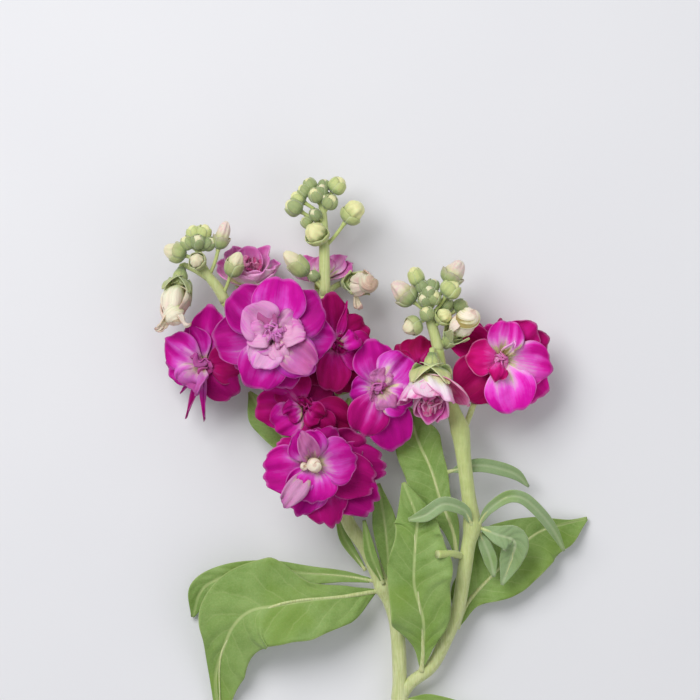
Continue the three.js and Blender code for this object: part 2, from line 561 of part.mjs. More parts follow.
// A closed bud on its stalk: the stalk flares into the calyx, which narrows to the bud's tip.
function budOnStalk([x0, y0, z0, x1, y1, z1, length, radius]) {
  const root = new THREE.Vector3(x0, y0, z0);
  const way = new THREE.Vector3(x1, y1, z1).sub(root);
  const reach = way.length();
  const base = Math.max(reach - length, 0);
  const profile = [
    [0, 0], [BUD_STALK_RADIUS, 0], [BUD_STALK_RADIUS, base], [radius, base + 0.3 * length],
    [0.84 * radius, base + 0.8 * length], [0, reach],
  ];
  if (base === 0) profile.splice(2, 1);
  const upright = new THREE.Quaternion().setFromUnitVectors(new THREE.Vector3(0, 0, 1), way.normalize());
  return turned(profile, ROUND_SIDES).applyQuaternion(upright).translate(x0, y0, z0);
}

// A leaf, folded a little along its midrib and waved at its edges.
function leaf({ midrib, wave, fold, cells: [across, bands] }) {
  const spine = new THREE.CatmullRomCurve3(midrib.map(([x, y, z]) => new THREE.Vector3(x, y, z)));
  const widths = new THREE.CatmullRomCurve3(midrib.map((row) => new THREE.Vector3(row[3], row[4], 0)));
  const up = new THREE.Vector3(0, 0, 1);
  const phase = chance() * Math.PI * 2;
  const surface = surfaceOf((along, across) => {
    const place = THREE.MathUtils.clamp(along, 0, 1);
    const half = across < 0 ? widths.getPoint(place).x : widths.getPoint(place).y;
    const side = spine.getTangent(place).cross(up).normalize();
    const ripple = wave * Math.sin(place * LEAF_WAVE_TURNS + phase + across * 2) * across ** 2;
    const lift = fold * half * Math.abs(across) + ripple * Math.min(1, half / 6);
    return spine.getPoint(place).addScaledVector(side, across * half).addScaledVector(up, lift);
  });
  const middle = new Array(bands - 3).fill(across);
  return blade(surface, [1, 2, ...middle, 2, 1], LEAF_THICKNESS);
}

const part = new THREE.Group();
part.position.set(...FRAME_SHIFT);

function addNode(name, pieces, colour) {
  const material = new THREE.MeshStandardMaterial({ color: colour, roughness: 0.7, metalness: 0 });
  const mesh = new THREE.Mesh(geometryOf(fuse(pieces)), material);
  mesh.name = name;
  part.add(mesh);
}

function greensBorneBy(bearer) {
  return FLOWERS.filter((flower) => (flower.bearer ?? 'stem') === bearer).flatMap(greenOf);
}

function addStem() {
  const routes = [MAIN_STEM, RIGHT_BRANCH, LEFT_BRANCH];
  const pieces = routes.map((rows) => branch(rows, STEM_SIDES, STEM_STEP));
  addNode('stem', [...pieces, ...greensBorneBy('stem')], STEM_GREEN);
}

function addBuds(name, tip, rows) {
  const pieces = [branch(tip, TIP_SIDES, STEM_STEP), ...rows.map(budOnStalk), ...greensBorneBy(name)];
  addNode(name, pieces, BUD_GREEN);
}

addStem();
addBuds('buds_left', LEFT_TIP, LEFT_BUDS);
addBuds('buds_middle', MIDDLE_TIP, MIDDLE_BUDS);
addBuds('buds_right', RIGHT_TIP, RIGHT_BUDS);
FLOWERS.forEach((flower) => addNode(flower.name, petalsOf(flower), flower.colour));
LEAVES.forEach((row) => addNode(row.name, [leaf(row)], row.colour));

export default part;
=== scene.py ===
"""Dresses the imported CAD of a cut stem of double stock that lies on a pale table.

The tables are in millimetres, in the CAD's own frame before its small sideways shift. Every CAD node is
replaced by a finer piece of the same form: stems, cups, buds, petals and leaves.
"""
import logging
import math
import random
from collections.abc import Callable, Sequence
from dataclasses import dataclass, field
from enum import Enum
from functools import cache, cached_property
from itertools import zip_longest

import bmesh
import bpy
import numpy as np
from mathutils import Matrix, Vector, noise


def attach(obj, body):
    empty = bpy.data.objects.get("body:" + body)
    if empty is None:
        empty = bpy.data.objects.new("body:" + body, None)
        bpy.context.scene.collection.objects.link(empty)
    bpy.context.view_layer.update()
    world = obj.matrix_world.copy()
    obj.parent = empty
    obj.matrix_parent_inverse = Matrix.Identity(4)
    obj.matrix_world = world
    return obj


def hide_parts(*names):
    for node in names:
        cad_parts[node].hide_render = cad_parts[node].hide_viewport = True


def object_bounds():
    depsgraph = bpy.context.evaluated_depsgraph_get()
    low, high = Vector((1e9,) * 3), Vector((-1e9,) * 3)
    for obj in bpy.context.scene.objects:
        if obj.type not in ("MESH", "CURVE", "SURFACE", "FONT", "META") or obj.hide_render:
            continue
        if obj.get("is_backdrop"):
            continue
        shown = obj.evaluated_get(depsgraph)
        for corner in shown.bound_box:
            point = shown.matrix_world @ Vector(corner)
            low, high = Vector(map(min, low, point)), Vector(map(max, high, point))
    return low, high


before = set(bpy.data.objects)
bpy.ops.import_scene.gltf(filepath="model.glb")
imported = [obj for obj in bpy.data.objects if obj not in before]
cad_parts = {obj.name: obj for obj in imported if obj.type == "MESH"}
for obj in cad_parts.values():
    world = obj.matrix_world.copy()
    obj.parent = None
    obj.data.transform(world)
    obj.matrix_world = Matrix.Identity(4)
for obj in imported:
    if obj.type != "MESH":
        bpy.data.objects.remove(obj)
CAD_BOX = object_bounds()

logging.basicConfig(level=logging.INFO, format="%(message)s")
LOG = logging.getLogger("stock_stem")

MM = 0.001
FRAME_SHIFT = Vector((0.5, 0.0, 0.0))
SEED = 29
ANY_PHASE = (0, 6.28)
PETAL_SKIN = 0.35
LEAF_SKIN = 0.4
SEPAL_SKIN = 0.22
CALYX_LENGTH = 6.5
CALYX_RADIUS = 2.2
CALYX_GAP = 0.3
PEDICEL_RADIUS = 0.95
BUD_STALK_RADIUS = 0.6
CORE_RADIUS = 2.4
# The heights between which every petal stays.
LOWEST = 0.45
HIGHEST = 40.2
# Where a petal is widest, and where a bud is thickest, as a part of the length.
PETAL_SHOULDER = 0.7
BUD_SHOULDER = 0.42
# The turn in degrees, and in radians, from one organ to the next in a spiral.
SPIRAL_DEGREES = 137.5
SPIRAL_RADIANS = 2.4
LEAF_VEINS = 11.0
# Points of a wrapped grid that lie this near, in metres, are the two sides of its seam.
SEAM = 2e-7

Row = Sequence[float]
Tint = tuple[float, float, float, float]
TintRule = Tint | Callable[[float, float], Tint]
Place = Callable[[float, float], Vector]
Faces = list[bmesh.types.BMFace]


class Spline:
    """A centripetal curve through rows of numbers, the same curve that the CAD's pieces follow."""

    def __init__(self, rows: Sequence[Row]) -> None:
        """Keeps the rows, two or more, with one more beyond each end."""
        inner = [np.array(row, dtype=float) for row in rows]
        self.rows = [2 * inner[0] - inner[1], *inner, 2 * inner[-1] - inner[-2]]
        self.known: dict[float, np.ndarray] = {}

    def at(self, along: float) -> np.ndarray:
        """One number for each column, at a place from 0 on the first row to 1 on the last."""
        key = round(min(max(along, 0.0), 1.0), 6)
        if key not in self.known:
            self.known[key] = self._between(key * (len(self.rows) - 3))
        return self.known[key]

    def _between(self, place: float) -> np.ndarray:
        """The numbers at a place counted in rows."""
        first = min(int(place), len(self.rows) - 4)
        w = place - first
        p0, p1, p2, p3 = self.rows[first:first + 4]
        middle = math.sqrt(max(float(np.linalg.norm(p2 - p1)), 1e-9))
        before = math.sqrt(float(np.linalg.norm(p1 - p0))) or middle
        after = math.sqrt(float(np.linalg.norm(p3 - p2))) or middle
        start = ((p1 - p0) / before - (p2 - p0) / (before + middle) + (p2 - p1) / middle) * middle
        end = ((p2 - p1) / middle - (p3 - p1) / (middle + after) + (p3 - p2) / after) * middle
        bend = -3 * p1 + 3 * p2 - 2 * start - end
        return p1 + start * w + bend * w * w + (2 * p1 - 2 * p2 + start + end) * w ** 3

    def tangent(self, along: float) -> Vector:
        """The way the curve runs at a place, by its first three columns."""
        low, high = max(along - 0.002, 0.0), min(along + 0.002, 1.0)
        return Vector((self.at(high) - self.at(low))[:3]).normalized()

    def length(self) -> float:
        """The curve's length by its first three columns, in millimetres."""
        points = [Vector(self.at(i / 60)[:3]) for i in range(61)]
        return sum((b - a).length for a, b in zip(points, points[1:]))


def smooth(low: float, high: float, value: float) -> float:
    """Rises smoothly from 0 where the value is low to 1 where it is high."""
    part = min(max((value - low) / (high - low), 0.0), 1.0)
    return part * part * (3 - 2 * part)


def ring(out: float, turn: float, up: float) -> Vector:
    """The point that lies out from an axis, at a turn in radians, and up along it."""
    return Vector((out * math.cos(turn), out * math.sin(turn), up))


def arc(start: Vector, knee: Vector, tip: Vector, part: float) -> Vector:
    """The point at a part of an arc that leans towards its knee."""
    return start * (1 - part) ** 2 + knee * 2 * part * (1 - part) + tip * part ** 2


def blunt(along: float, start: float, length: float) -> float:
    """A sepal's width as a part of its widest: full as far as the start, then round to its end."""
    return math.sqrt(max(1 - max((along - start) / length, 0) ** 2.4, 0.0))


def bumps(x: float, y: float, z: float) -> float:
    """Smooth noise about 0 at a place."""
    return noise.noise(Vector((x, y, z)))


def axes_along(way: Vector, origin: Vector) -> Matrix:
    """A frame whose origin is a point in millimetres and whose +Z runs along a direction."""
    turn = Vector((0, 0, 1)).rotation_difference(way.normalized())
    return Matrix.Translation(origin) @ turn.to_matrix().to_4x4()


def linear(code: str) -> tuple[float, float, float, float]:
    """Turns an sRGB hex colour of six digits to the linear colour that a socket takes."""
    parts = [int(code[i:i + 2], 16) / 255 for i in (0, 2, 4)]
    red, green, blue = (p / 12.92 if p <= 0.04045 else ((p + 0.055) / 1.055) ** 2.4 for p in parts)
    return red, green, blue, 1.0


def per_mm(size: float) -> float:
    """The noise scale that gives a pattern of a real size in millimetres."""
    return 1 / (size * MM)


@dataclass(frozen=True)
class Value:
    """A number or colour that a node gives, so that a finish is written as sums."""

    recipe: "Recipe"
    socket: bpy.types.NodeSocket

    def __add__(self, other: "Value | float") -> "Value":
        """The sum of two."""
        return self.recipe.math("ADD", self, other)

    def __sub__(self, other: "Value | float") -> "Value":
        """The difference of two."""
        return self.recipe.math("SUBTRACT", self, other)

    def __mul__(self, other: "Value | float") -> "Value":
        """The product of two."""
        return self.recipe.math("MULTIPLY", self, other)

    def __abs__(self) -> "Value":
        """The value without its sign."""
        return self.recipe.math("ABSOLUTE", self)


class Recipe:
    """A material's nodes, added one at a time."""

    def __init__(self, name: str) -> None:
        """Starts a material of that name with an empty node tree."""
        self.material = bpy.data.materials.new(name)
        self.material.use_nodes = True
        self.tree = self.material.node_tree
        self.tree.nodes.clear()

    def add(self, kind: str, inputs: dict[int | str, object], **settings: object) -> bpy.types.Node:
        """Adds one node.

        Args:
            kind: the node's type without its ShaderNode prefix.
            inputs: for each input a feeding value, a plain value or a hex colour.
            settings: the node's own settings.

        Returns:
            The node.
        """
        node = self.tree.nodes.new("ShaderNode" + kind)
        for key, value in settings.items():
            setattr(node, key, value)
        for key, value in inputs.items():
            if isinstance(value, Value):
                self.tree.links.new(value.socket, node.inputs[key])
            else:
                node.inputs[key].default_value = linear(value) if isinstance(value, str) else value
        return node

    def outputs(self, kind: str, inputs: dict[int | str, object], **settings: object) -> list[Value]:
        """Adds one node, as add does, and gives all its outputs."""
        return [Value(self, socket) for socket in self.add(kind, inputs, **settings).outputs]

    @cached_property
    def spot(self) -> Value:
        """The object's own coordinates, in metres."""
        return self.outputs("TexCoord", {})[3]

    @cached_property
    def uv(self) -> list[Value]:
        """The place on the blade: across and along, each from 0 to 1."""
        return self.outputs("SeparateXYZ", {0: self.outputs("TexCoord", {})[2]})

    @cached_property
    def tint(self) -> list[Value]:
        """The three colours of the tint attribute, and its alpha."""
        attribute = self.outputs("Attribute", {}, attribute_name="tint")
        return [*self.outputs("SeparateColor", {0: attribute[0]}), attribute[3]]

    @cached_property
    def off(self) -> Value:
        """How far off the blade's middle line a place is, from 0 to 1."""
        return abs(self.uv[0] * 2.0 - 1.0)

    def math(self, operation: str, *values: Value | float) -> Value:
        """Adds a sum by the operation's name and gives its result."""
        return self.outputs("Math", dict(enumerate(values)), operation=operation)[0]

    def rise(self, value: Value, low: float, high: float) -> Value:
        """A smooth step from 0 at low to 1 at high; with low above high, it falls."""
        return self.outputs("MapRange", {0: value, 1: low, 2: high, 3: 0.0, 4: 1.0},
                            interpolation_type="SMOOTHSTEP")[0]

    def mix(self, part: Value, first: Value | str, second: Value | str) -> Value:
        """Mixes two colours by a part of the second."""
        return self.outputs("Mix", {0: part, 6: first, 7: second}, data_type="RGBA")[2]

    def shift(self, colour: Value, value: Value, hue: Value | float = 0.5) -> Value:
        """Changes how bright a colour is, and its hue, which stays at 0.5."""
        return self.outputs("HueSaturation", {"Hue": hue, "Value": value, "Color": colour})[0]

    def ramp(self, value: Value, stops: Sequence[tuple[float, str]]) -> Value:
        """A run of hex colours, each at its place from 0 to 1."""
        node = self.add("ValToRGB", {0: value})
        elements = node.color_ramp.elements
        while len(elements) < len(stops):
            elements.new(1.0)
        for element, (place, code) in zip(elements, stops):
            element.position = place
            element.color = linear(code)
        return Value(self, node.outputs[0])

    def noise(self, vector: Value, scale: float, detail: float = 2.0, rough: float = 0.5) -> Value:
        """Noise between 0 and 1, by cells for each unit, octaves and how strong the finer ones are."""
        return self.outputs("TexNoise", {"Vector": vector, "Scale": scale, "Detail": detail,
                                         "Roughness": rough})[0]

    def patches(self, size: float, detail: float = 2.0, rough: float = 0.5) -> Value:
        """Noise on the object's own coordinates, with patches of a size in millimetres."""
        return self.noise(self.spot, per_mm(size), detail, rough)

    def streaks(self, pace: tuple[float, float, float]) -> Value:
        """Noise on the object's own coordinates, with a size in millimetres along X, Y and Z."""
        drawn = self.outputs("Mapping", {0: self.spot, 3: tuple(per_mm(size) for size in pace)})[0]
        return self.noise(drawn, 1.0, 3.0)

    def close(self, colour: Value, roughness: Value | float, height: Value, depth: float,
              sheen: float, flesh: float, specular: float = 0.35) -> bpy.types.Material:
        """Ends the material in its shader.

        Args:
            colour: the base colour.
            roughness: how matt it is.
            height: the relief, from 0 to 1.
            depth: the relief's depth in millimetres.
            sheen: how strong the soft sheen of down or cells is.
            flesh: how much light passes into it.
            specular: how strong its shine is.

        Returns:
            The material.
        """
        bump = self.outputs("Bump", {"Height": height, "Distance": depth * MM, "Strength": 1.0})[0]
        shader = self.outputs("BsdfPrincipled", {
            "Base Color": colour, "Roughness": roughness, "Normal": bump,
            "Sheen Weight": sheen, "Sheen Roughness": 0.4, "Subsurface Weight": flesh,
            "Subsurface Radius": (1.0, 0.5, 0.5), "Subsurface Scale": 1.2 * MM,
            "Specular IOR Level": specular})[0]
        self.add("OutputMaterial", {0: shader})
        return self.material


@dataclass(frozen=True)
class Finish:
    """A procedural finish, by the name of its material."""

    name: str

    def material(self) -> bpy.types.Material:
        """Makes the material."""
        raise NotImplementedError


@cache
def paint(finish: Finish) -> bpy.types.Material:
    """The material of a finish, made on first use."""
    return finish.material()


@dataclass(frozen=True)
class PetalFinish(Finish):
    """A stock petal: thin and silky, with veins that fan from its claw and a soft sheen."""

    claw: str
    throat: str
    lit: str
    limb: str
    margin: str
    pale: str
    blush: str
    brown: float = 0.0
    hue: float = 0.492

    def material(self) -> bpy.types.Material:
        """Makes the finish: pale at the claw, rich on the limb, and paler all over on inner petals."""
        recipe = Recipe(self.name)
        across, along, _ = recipe.uv
        pale, chance, drift, depth = recipe.tint
        # The petal's painted light and shade, from its tone: from -0.5 on a petal painted as catching the light
        # to 0.5 on one painted in shade, deep in the bloom.
        deep = depth - 0.5
        fan = recipe.outputs("CombineXYZ", {0: across * 30.0, 1: along * 1.5, 2: chance * 40.0})[0]
        veins = recipe.noise(fan, 1.0, 4.0, 0.6)
        # Painted light and shade: broad lighter and darker bands, a few over each petal, as light falls on its
        # gentle pleats.
        pleats = recipe.outputs("CombineXYZ", {0: across * 5.0, 1: along, 2: chance * 70.0})[0]
        painted_pleat_shade = recipe.noise(pleats, 1.0, 1.0) - 0.5
        # Patches about 3 mm wide, painted as light and shade on the tissue; they also place the brown wear.
        cloud = recipe.patches(3.0, 3.0)
        # Papillae give the silk, drawn at 0.4 mm so that they show.
        grain = recipe.patches(0.4, 1.0)
        # Painted shade moves a petal's colours along the ramp towards its darker limb and margin.
        place = along + (veins - 0.5) * 0.5 + (cloud - 0.5) * 0.35 + deep * 0.8
        place += painted_pleat_shade * recipe.rise(along, 0.1, 0.5) * 1.1
        rich = recipe.ramp(place, [(0.0, self.claw), (0.14, self.throat), (0.4, self.lit), (0.68, self.limb),
                                   (1.0, self.margin)])
        faint = recipe.ramp(place, [(0.0, "a8a25c"), (0.16, self.claw), (0.36, self.pale), (0.8, self.pale),
                                    (1.0, self.blush)])
        streak = recipe.rise(veins, 0.54, 0.7) * recipe.rise(along, 0.2, 0.8)
        faint = recipe.mix(streak * 0.6, faint, self.lit)
        colour = recipe.mix(pale, rich, faint)
        edge = recipe.math("MAXIMUM", recipe.off, along)
        # Painted highlight: a pale rim of the blush colour along every petal's margin and tip, where light
        # catches the thin edge.
        colour = recipe.mix(recipe.rise(edge, 0.95, 1.0) * 0.5, colour, self.blush)
        if self.brown:
            worn = recipe.rise(edge, 0.8, 1.0) * recipe.rise(cloud, 0.5, 0.7)
            colour = recipe.mix(worn * self.brown, colour, "9a7448")
        # A random tone for each petal and the veins set the value; the painted shade darkens it and turns its
        # hue.
        value = chance * 0.28 + 0.82 + (veins - 0.5) * 0.5 + deep * -0.3
        colour = recipe.shift(colour, value, drift * 0.02 + deep * 0.06 + self.hue)
        return recipe.close(colour, grain * 0.1 + 0.5, grain * 0.15 + veins, 0.2, 0.03, 0.1, 0.08)


@dataclass(frozen=True)
class LeafFinish(Finish):
    """A stock leaf: matt, with a pale midrib, side veins that fork off it and fine down."""

    dark: str
    light: str
    vein: str
    sheen: float
    relief: float = 0.25
    backlit_green: str = "7c9c34"

    def material(self) -> bpy.types.Material:
        """Makes the finish from the leaf's own UV, so that the veins follow the blade."""
        recipe = Recipe(self.name)
        off = recipe.off
        chance, _, breadth, _ = recipe.tint
        # Narrow blades show hardly any side veins.
        broad = recipe.rise(breadth, 0.08, 0.3)
        # The midrib is about a millimetre wide.
        midrib = recipe.rise(off * breadth * 20.0, 0.75, 0.2) * (broad * 0.4 + 0.5)
        # Side veins stand evenly along the blade and slant forward.
        wander = (recipe.patches(6.0) - 0.5) * 0.5
        side = (recipe.uv[1] + chance * 0.03) * LEAF_VEINS - off * 1.5 + wander
        gap = abs(recipe.math("FRACT", side) - 0.5)
        lateral = recipe.rise(gap, 0.07, 0.015) * recipe.rise(off, 1.0, 0.55) * broad
        veins = recipe.math("MAXIMUM", midrib, lateral * 0.2)
        cells = recipe.outputs("TexVoronoi", {"Vector": recipe.spot, "Scale": per_mm(1.7)},
                               feature="DISTANCE_TO_EDGE")[0]
        net = recipe.rise(cells, 0.1, 0.0)
        cloud = recipe.patches(12.0, 4.0, 0.6)
        grain = recipe.patches(0.5)
        colour = recipe.mix((cloud - 0.5) * 1.6 + 0.5 + (grain - 0.5) * 0.5, self.dark, self.light)
        # Painted light: patches about 20 mm wide in a brighter green, where light comes through the blade.
        colour = recipe.mix(recipe.rise(recipe.patches(20.0), 0.5, 0.72) * 0.55, colour, self.backlit_green)
        for part, strength in ((net, 0.05), (veins, 0.8), (recipe.rise(off, 0.965, 1.0), 0.4)):
            colour = recipe.mix(part * strength, colour, self.vein)
        # The tissue puffs a little between the veins.
        height = net * -0.12 + grain * 0.3 + recipe.rise(gap, 0.0, 0.45) * broad
        return recipe.close(colour, grain * 0.15 + 0.5, height, self.relief, self.sheen, 0.08)


@dataclass(frozen=True)
class StemFinish(Finish):
    """Fresh stem tissue: matt, faintly streaked along its length, with a frosting of fine down."""

    base: str
    light: str
    top: str
    sheen: float = 0.35

    def material(self) -> bpy.types.Material:
        """Makes the finish: tint red goes from the base colour to the top colour."""
        recipe = Recipe(self.name)
        streak = recipe.streaks((0.5, 9.0, 0.5))
        spots = recipe.streaks((1.6, 1.6, 1.6))
        ground = recipe.mix(recipe.rise(streak, 0.3, 0.7), self.base, self.light)
        colour = recipe.shift(recipe.mix(recipe.tint[0], ground, self.top), spots * 0.22 + 0.9)
        return recipe.close(colour, spots * 0.15 + 0.45, spots * 0.4 + streak, 0.12, self.sheen, 0.12)


@dataclass(frozen=True)
class SepalFinish(Finish):
    """Downy green sepals: sage at the base, lime or purplish towards the tip, with a pale thin margin."""

    base: str = "7d945c"
    body: str = "9cad78"
    lime: str = "c6ce86"
    flush: str = "caa4b4"
    margin: str = "e2e6c2"

    def material(self) -> bpy.types.Material:
        """Makes the finish: tint red is how lime a sepal is, and tint blue how flushed its tip is."""
        recipe = Recipe(self.name)
        lime, _, flush, _ = recipe.tint
        cloud = recipe.patches(1.2, 3.0)
        grain = recipe.patches(0.3, 1.0)
        place = (cloud - 0.5) * 0.5 + recipe.uv[1]
        colour = recipe.ramp(place, [(0.0, self.base), (0.45, self.body), (1.0, self.body)])
        for part, code in (
                (lime * recipe.rise(place, 0.0, 0.6), self.lime),
                (flush * recipe.rise(place, 0.45, 1.0), self.flush),
                (recipe.rise(recipe.off, 0.82, 1.0) * 0.4, self.margin),
                (recipe.rise(recipe.off, 0.25, 0.0) * 0.25, self.base)):
            colour = recipe.mix(part, colour, code)
        colour = recipe.shift(colour, grain * 0.2 + lime * 0.2 + 0.76)
        return recipe.close(colour, 0.55, grain, 0.08, 0.4, 0.12)


@dataclass(frozen=True)
class BudPetalFinish(Finish):
    """The rolled petals that show at a bud's tip: cream, yellow or pink, darker in their folds."""

    def material(self) -> bpy.types.Material:
        """Makes the finish: tint red is how pink the petals are, and tint blue how yellow."""
        recipe = Recipe(self.name)
        pink, _, yellow, _ = recipe.tint
        cloud = recipe.patches(1.0, 3.0)
        colour = recipe.mix(yellow, "ece2d2", "e6e6a2")
        colour = recipe.mix(pink * recipe.rise(cloud, 0.3, 0.65), colour, "dca8b8")
        colour = recipe.mix(recipe.rise(recipe.uv[1], 0.75, 0.3), colour, "c8d08c")
        return recipe.close(recipe.shift(colour, cloud * 0.2 + 0.9), 0.5, cloud, 0.08, 0.3, 0.15)


@dataclass(frozen=True)
class BoardFinish(Finish):
    """The table's pale painted board: even, with a very faint cloud about 60 mm wide."""

    def material(self) -> bpy.types.Material:
        """Makes the finish."""
        recipe = Recipe(self.name)
        cloud = recipe.patches(60.0)
        return recipe.close(recipe.mix(cloud, "e6e6e9", "eaeaec"), 0.8, cloud, 0.05, 0.0, 0.0, 0.2)


# Each petal finish names its colours from the claw outwards: claw, throat, lit part, limb and margin,
# then what pale inner petals turn to, and the blush at their tips that also paints a highlight on every thin
# rim.
MAGENTA_FRONT = PetalFinish("silky_petal_magenta", "d9d8a0", "e4a4d2", "d44cb8", "c4108e", "ac067a", "e2a6cc",
                            "dc7cc4", hue=0.488)
HOT_FRONT = PetalFinish("silky_petal_hot", "d9dca0", "f0b0dc", "f058c8", "de169c", "c20a80", "eebce0", "ee8cd0")
HOT_BACK = PetalFinish("petal_back_hot", "d5d8a0", "e8a0d0", "dc58b4", "cc1c90", "b80e7c", "e8b8d8", "dc80c0")
MAGENTA_BACK = PetalFinish("petal_back_magenta", "d5d49c", "dc98c6", "cc50ac", "b81890", "a40c7c", "dca4c8",
                           "d078bc", hue=0.488)
# The magenta again, painted darker as shade, for the blooms that lie in the shade of others.
SHADE_FRONT = PetalFinish("silky_petal_painted_shade", "c9c890", "dc78b8", "cc1c92", "ba0874", "a0045c", "dca0c8",
                          "cc509c", hue=0.486)
SHADE_BACK = PetalFinish("petal_back_painted_shade", "c4c48c", "cc70ac", "bc2080", "a80a66", "980658", "cc94b8",
                         "b84890", hue=0.486)
LIGHT_FRONT = PetalFinish("silky_petal_light", "dcdca8", "f0d0e4", "e8a4d4", "d874bc", "cc50a8", "f0d4e6",
                          "e8a0d2", hue=0.502)
LIGHT_BACK = PetalFinish("petal_back_light", "dee0b4", "f6e4e8", "f4d0e2", "eeaed6", "e690c8", "f2e0ea",
                         "ecb8dc", hue=0.502)
PALE_FRONT = PetalFinish("silky_petal_half_open", "dcdcb0", "f2c8da", "e87cb4", "d8489c", "e47cb8", "f0ccdc",
                         "f4c0d8")
PALE_BACK = PetalFinish("petal_back_half_open", "dfe0b4", "f2e8e4", "f2dde6", "f2c4dc", "dc5ca0", "f4e8e6",
                        "e8b4d0")
CREAM_FRONT = PetalFinish("rolled_petal_cream", "dee0b0", "eae0c0", "ead8c0", "e4c8b8", "d8b0a8", "eee6cc",
                          "dab4a4", 0.55, 0.5)
CREAM_BACK = PetalFinish("petal_back_cream", "dee2b4", "efebd0", "f0e4cc", "ecd8c8", "e0b8b4", "f0ecd8",
                         "e4c8b8", 0.35, 0.5)
LEAF_TOP = LeafFinish("stock_leaf_upper_side", "6a8c36", "9cb86c", "bccb88", 0.12, 0.18)
LEAF_UNDER = LeafFinish("stock_leaf_under_side", "86a068", "9cb47e", "bccc96", 0.25, 0.35)
YOUNG_TOP = LeafFinish("young_downy_leaf_upper_side", "84a068", "a0b888", "c2cea4", 0.45)
YOUNG_UNDER = LeafFinish("young_downy_leaf_under_side", "a0b08c", "b4c2a4", "ccd4b8", 0.55)
STEM_SKIN = StemFinish("downy_green_stem", "c0c888", "d8dca8", "bccc7a")
CUT_PITH = StemFinish("cut_stem_pith", "d8dcae", "e6e8c8", "c4cc90", 0.0)
THROAT = StemFinish("flower_throat", "9aa04a", "b8b868", "868c3c", 0.1)
SEPALS = SepalFinish("downy_sepals")
BUD_PETALS = BudPetalFinish("rolled_bud_petals")
BOARD = BoardFinish("painted_board")


class Kind(Enum):
    """How a flower's petals are coloured: the record's slot with the front's and back's finish."""

    MAGENTA = ("petal_magenta", MAGENTA_FRONT, MAGENTA_BACK)
    HOT = ("petal_magenta", HOT_FRONT, HOT_BACK)
    # Magenta painted darker as shade, for blooms that lie under others.
    SHADED = ("petal_shaded", SHADE_FRONT, SHADE_BACK)
    LIGHT = ("petal_light", LIGHT_FRONT, LIGHT_BACK)
    PALE = ("petal_pale", PALE_FRONT, PALE_BACK)
    CREAM = ("petal_cream", CREAM_FRONT, CREAM_BACK)


def put(name: str, data: bpy.types.ID) -> bpy.types.Object:
    """Puts a new object with that data into the scene."""
    thing = bpy.data.objects.new(name, data)
    bpy.context.scene.collection.objects.link(thing)
    return thing


def corners(faces: Sequence[bmesh.types.BMFace]) -> list[bmesh.types.BMVert]:
    """The points of the faces, each once."""
    return list(dict.fromkeys(vert for face in faces for vert in face.verts))


class Sheet:
    """A mesh under construction, made of grids that are bent, wrapped and thickened."""

    def __init__(self) -> None:
        """Starts an empty mesh with a UV map, a tint and a way to thicken for each point."""
        self.mesh = bmesh.new()
        self.mesh.loops.layers.uv.new("UVMap")
        self.tint = self.mesh.verts.layers.float_color.new("tint")
        self.way = self.mesh.verts.layers.float_vector.new("skin_way")

    def lay(self, cells: tuple[int, int], place: Place, tint: TintRule, material: int = 0) -> Faces:
        """Adds a grid and bends it.

        Args:
            cells: how many cells lie across and along.
            place: the point in millimetres for across (-1 to 1) and along (0 to 1).
            tint: the attribute that the finish reads, or a rule that gives it.
            material: the material's slot.

        Returns:
            The grid's faces.
        """
        made = bmesh.ops.create_grid(
            self.mesh, x_segments=cells[0], y_segments=cells[1], size=1.0, calc_uvs=True)
        for vert in made["verts"]:
            across, along = vert.co.x, (vert.co.y + 1) / 2
            vert[self.tint] = tint(across, along) if callable(tint) else tint
            vert.co = (place(across, along) + FRAME_SHIFT) * MM
        faces = list(dict.fromkeys(face for vert in made["verts"] for face in vert.link_faces))
        for face in faces:
            face.material_index = material
        return faces

    def wrap(self, cells: tuple[int, int], place: Place, tint: TintRule, material: int = 0) -> Faces:
        """Adds a grid that closes on itself, and fills its ends.

        Args:
            cells: how many cells lie round and along.
            place: the point in millimetres for a turn in radians and along (0 to 1).
            tint: the attribute that the finish reads, or a rule that gives it.
            material: the material's slot.

        Returns:
            The faces that close the two ends.
        """
        faces = self.lay(cells, lambda across, along: place(across * math.pi, along), tint, material)
        verts = corners(faces)
        bmesh.ops.remove_doubles(self.mesh, verts=verts, dist=SEAM)
        edges = {edge for vert in verts if vert.is_valid for edge in vert.link_edges if edge.is_boundary}
        ends = bmesh.ops.holes_fill(self.mesh, edges=sorted(edges, key=lambda edge: edge.calc_length()))
        for face in ends["faces"]:
            face.material_index = material
        return ends["faces"]

    def thicken(self, faces: Faces, skin: float, back: int = 0) -> None:
        """Gives a thickness to open faces, half of it on each side.

        Args:
            faces: the faces, each grid's open.
            skin: the thickness in millimetres.
            back: the material's slot on the back.
        """
        self.mesh.normal_update()
        under = corners(faces)
        for vert in under:
            vert[self.way] = vert.normal * (skin * MM / 2)
        made = bmesh.ops.extrude_face_region(self.mesh, geom=list(faces))
        for part in made["geom"]:
            if isinstance(part, bmesh.types.BMVert):
                part.co += Vector(part[self.way])
        for vert in under:
            vert.co -= Vector(vert[self.way])
        for face in faces:
            face.material_index = back

    def finish(self, name: str, node: str, slot: str, finishes: Sequence[Finish]) -> None:
        """Makes the piece, hangs it under the root body and hides the CAD node that it stands for.

        Args:
            name: the piece's name.
            node: the CAD node that it stands for.
            slot: the record's material slot; not used.
            finishes: its finishes, in the order of the mesh's own slots.
        """
        for face in self.mesh.faces:
            face.smooth = True
        data = bpy.data.meshes.new(name)
        self.mesh.to_mesh(data)
        self.mesh.free()
        for one in finishes:
            data.materials.append(paint(one))
        piece = put(name, data)
        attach(piece, "root")
        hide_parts(node)
        LOG.info("%s: %d faces", name, len(data.polygons))


def soft_limit(over: float, keen: float) -> float:
    """How far to stay over a limit: the same far above it, and never quite nothing below it."""
    return math.log1p(math.exp(over * keen)) / keen


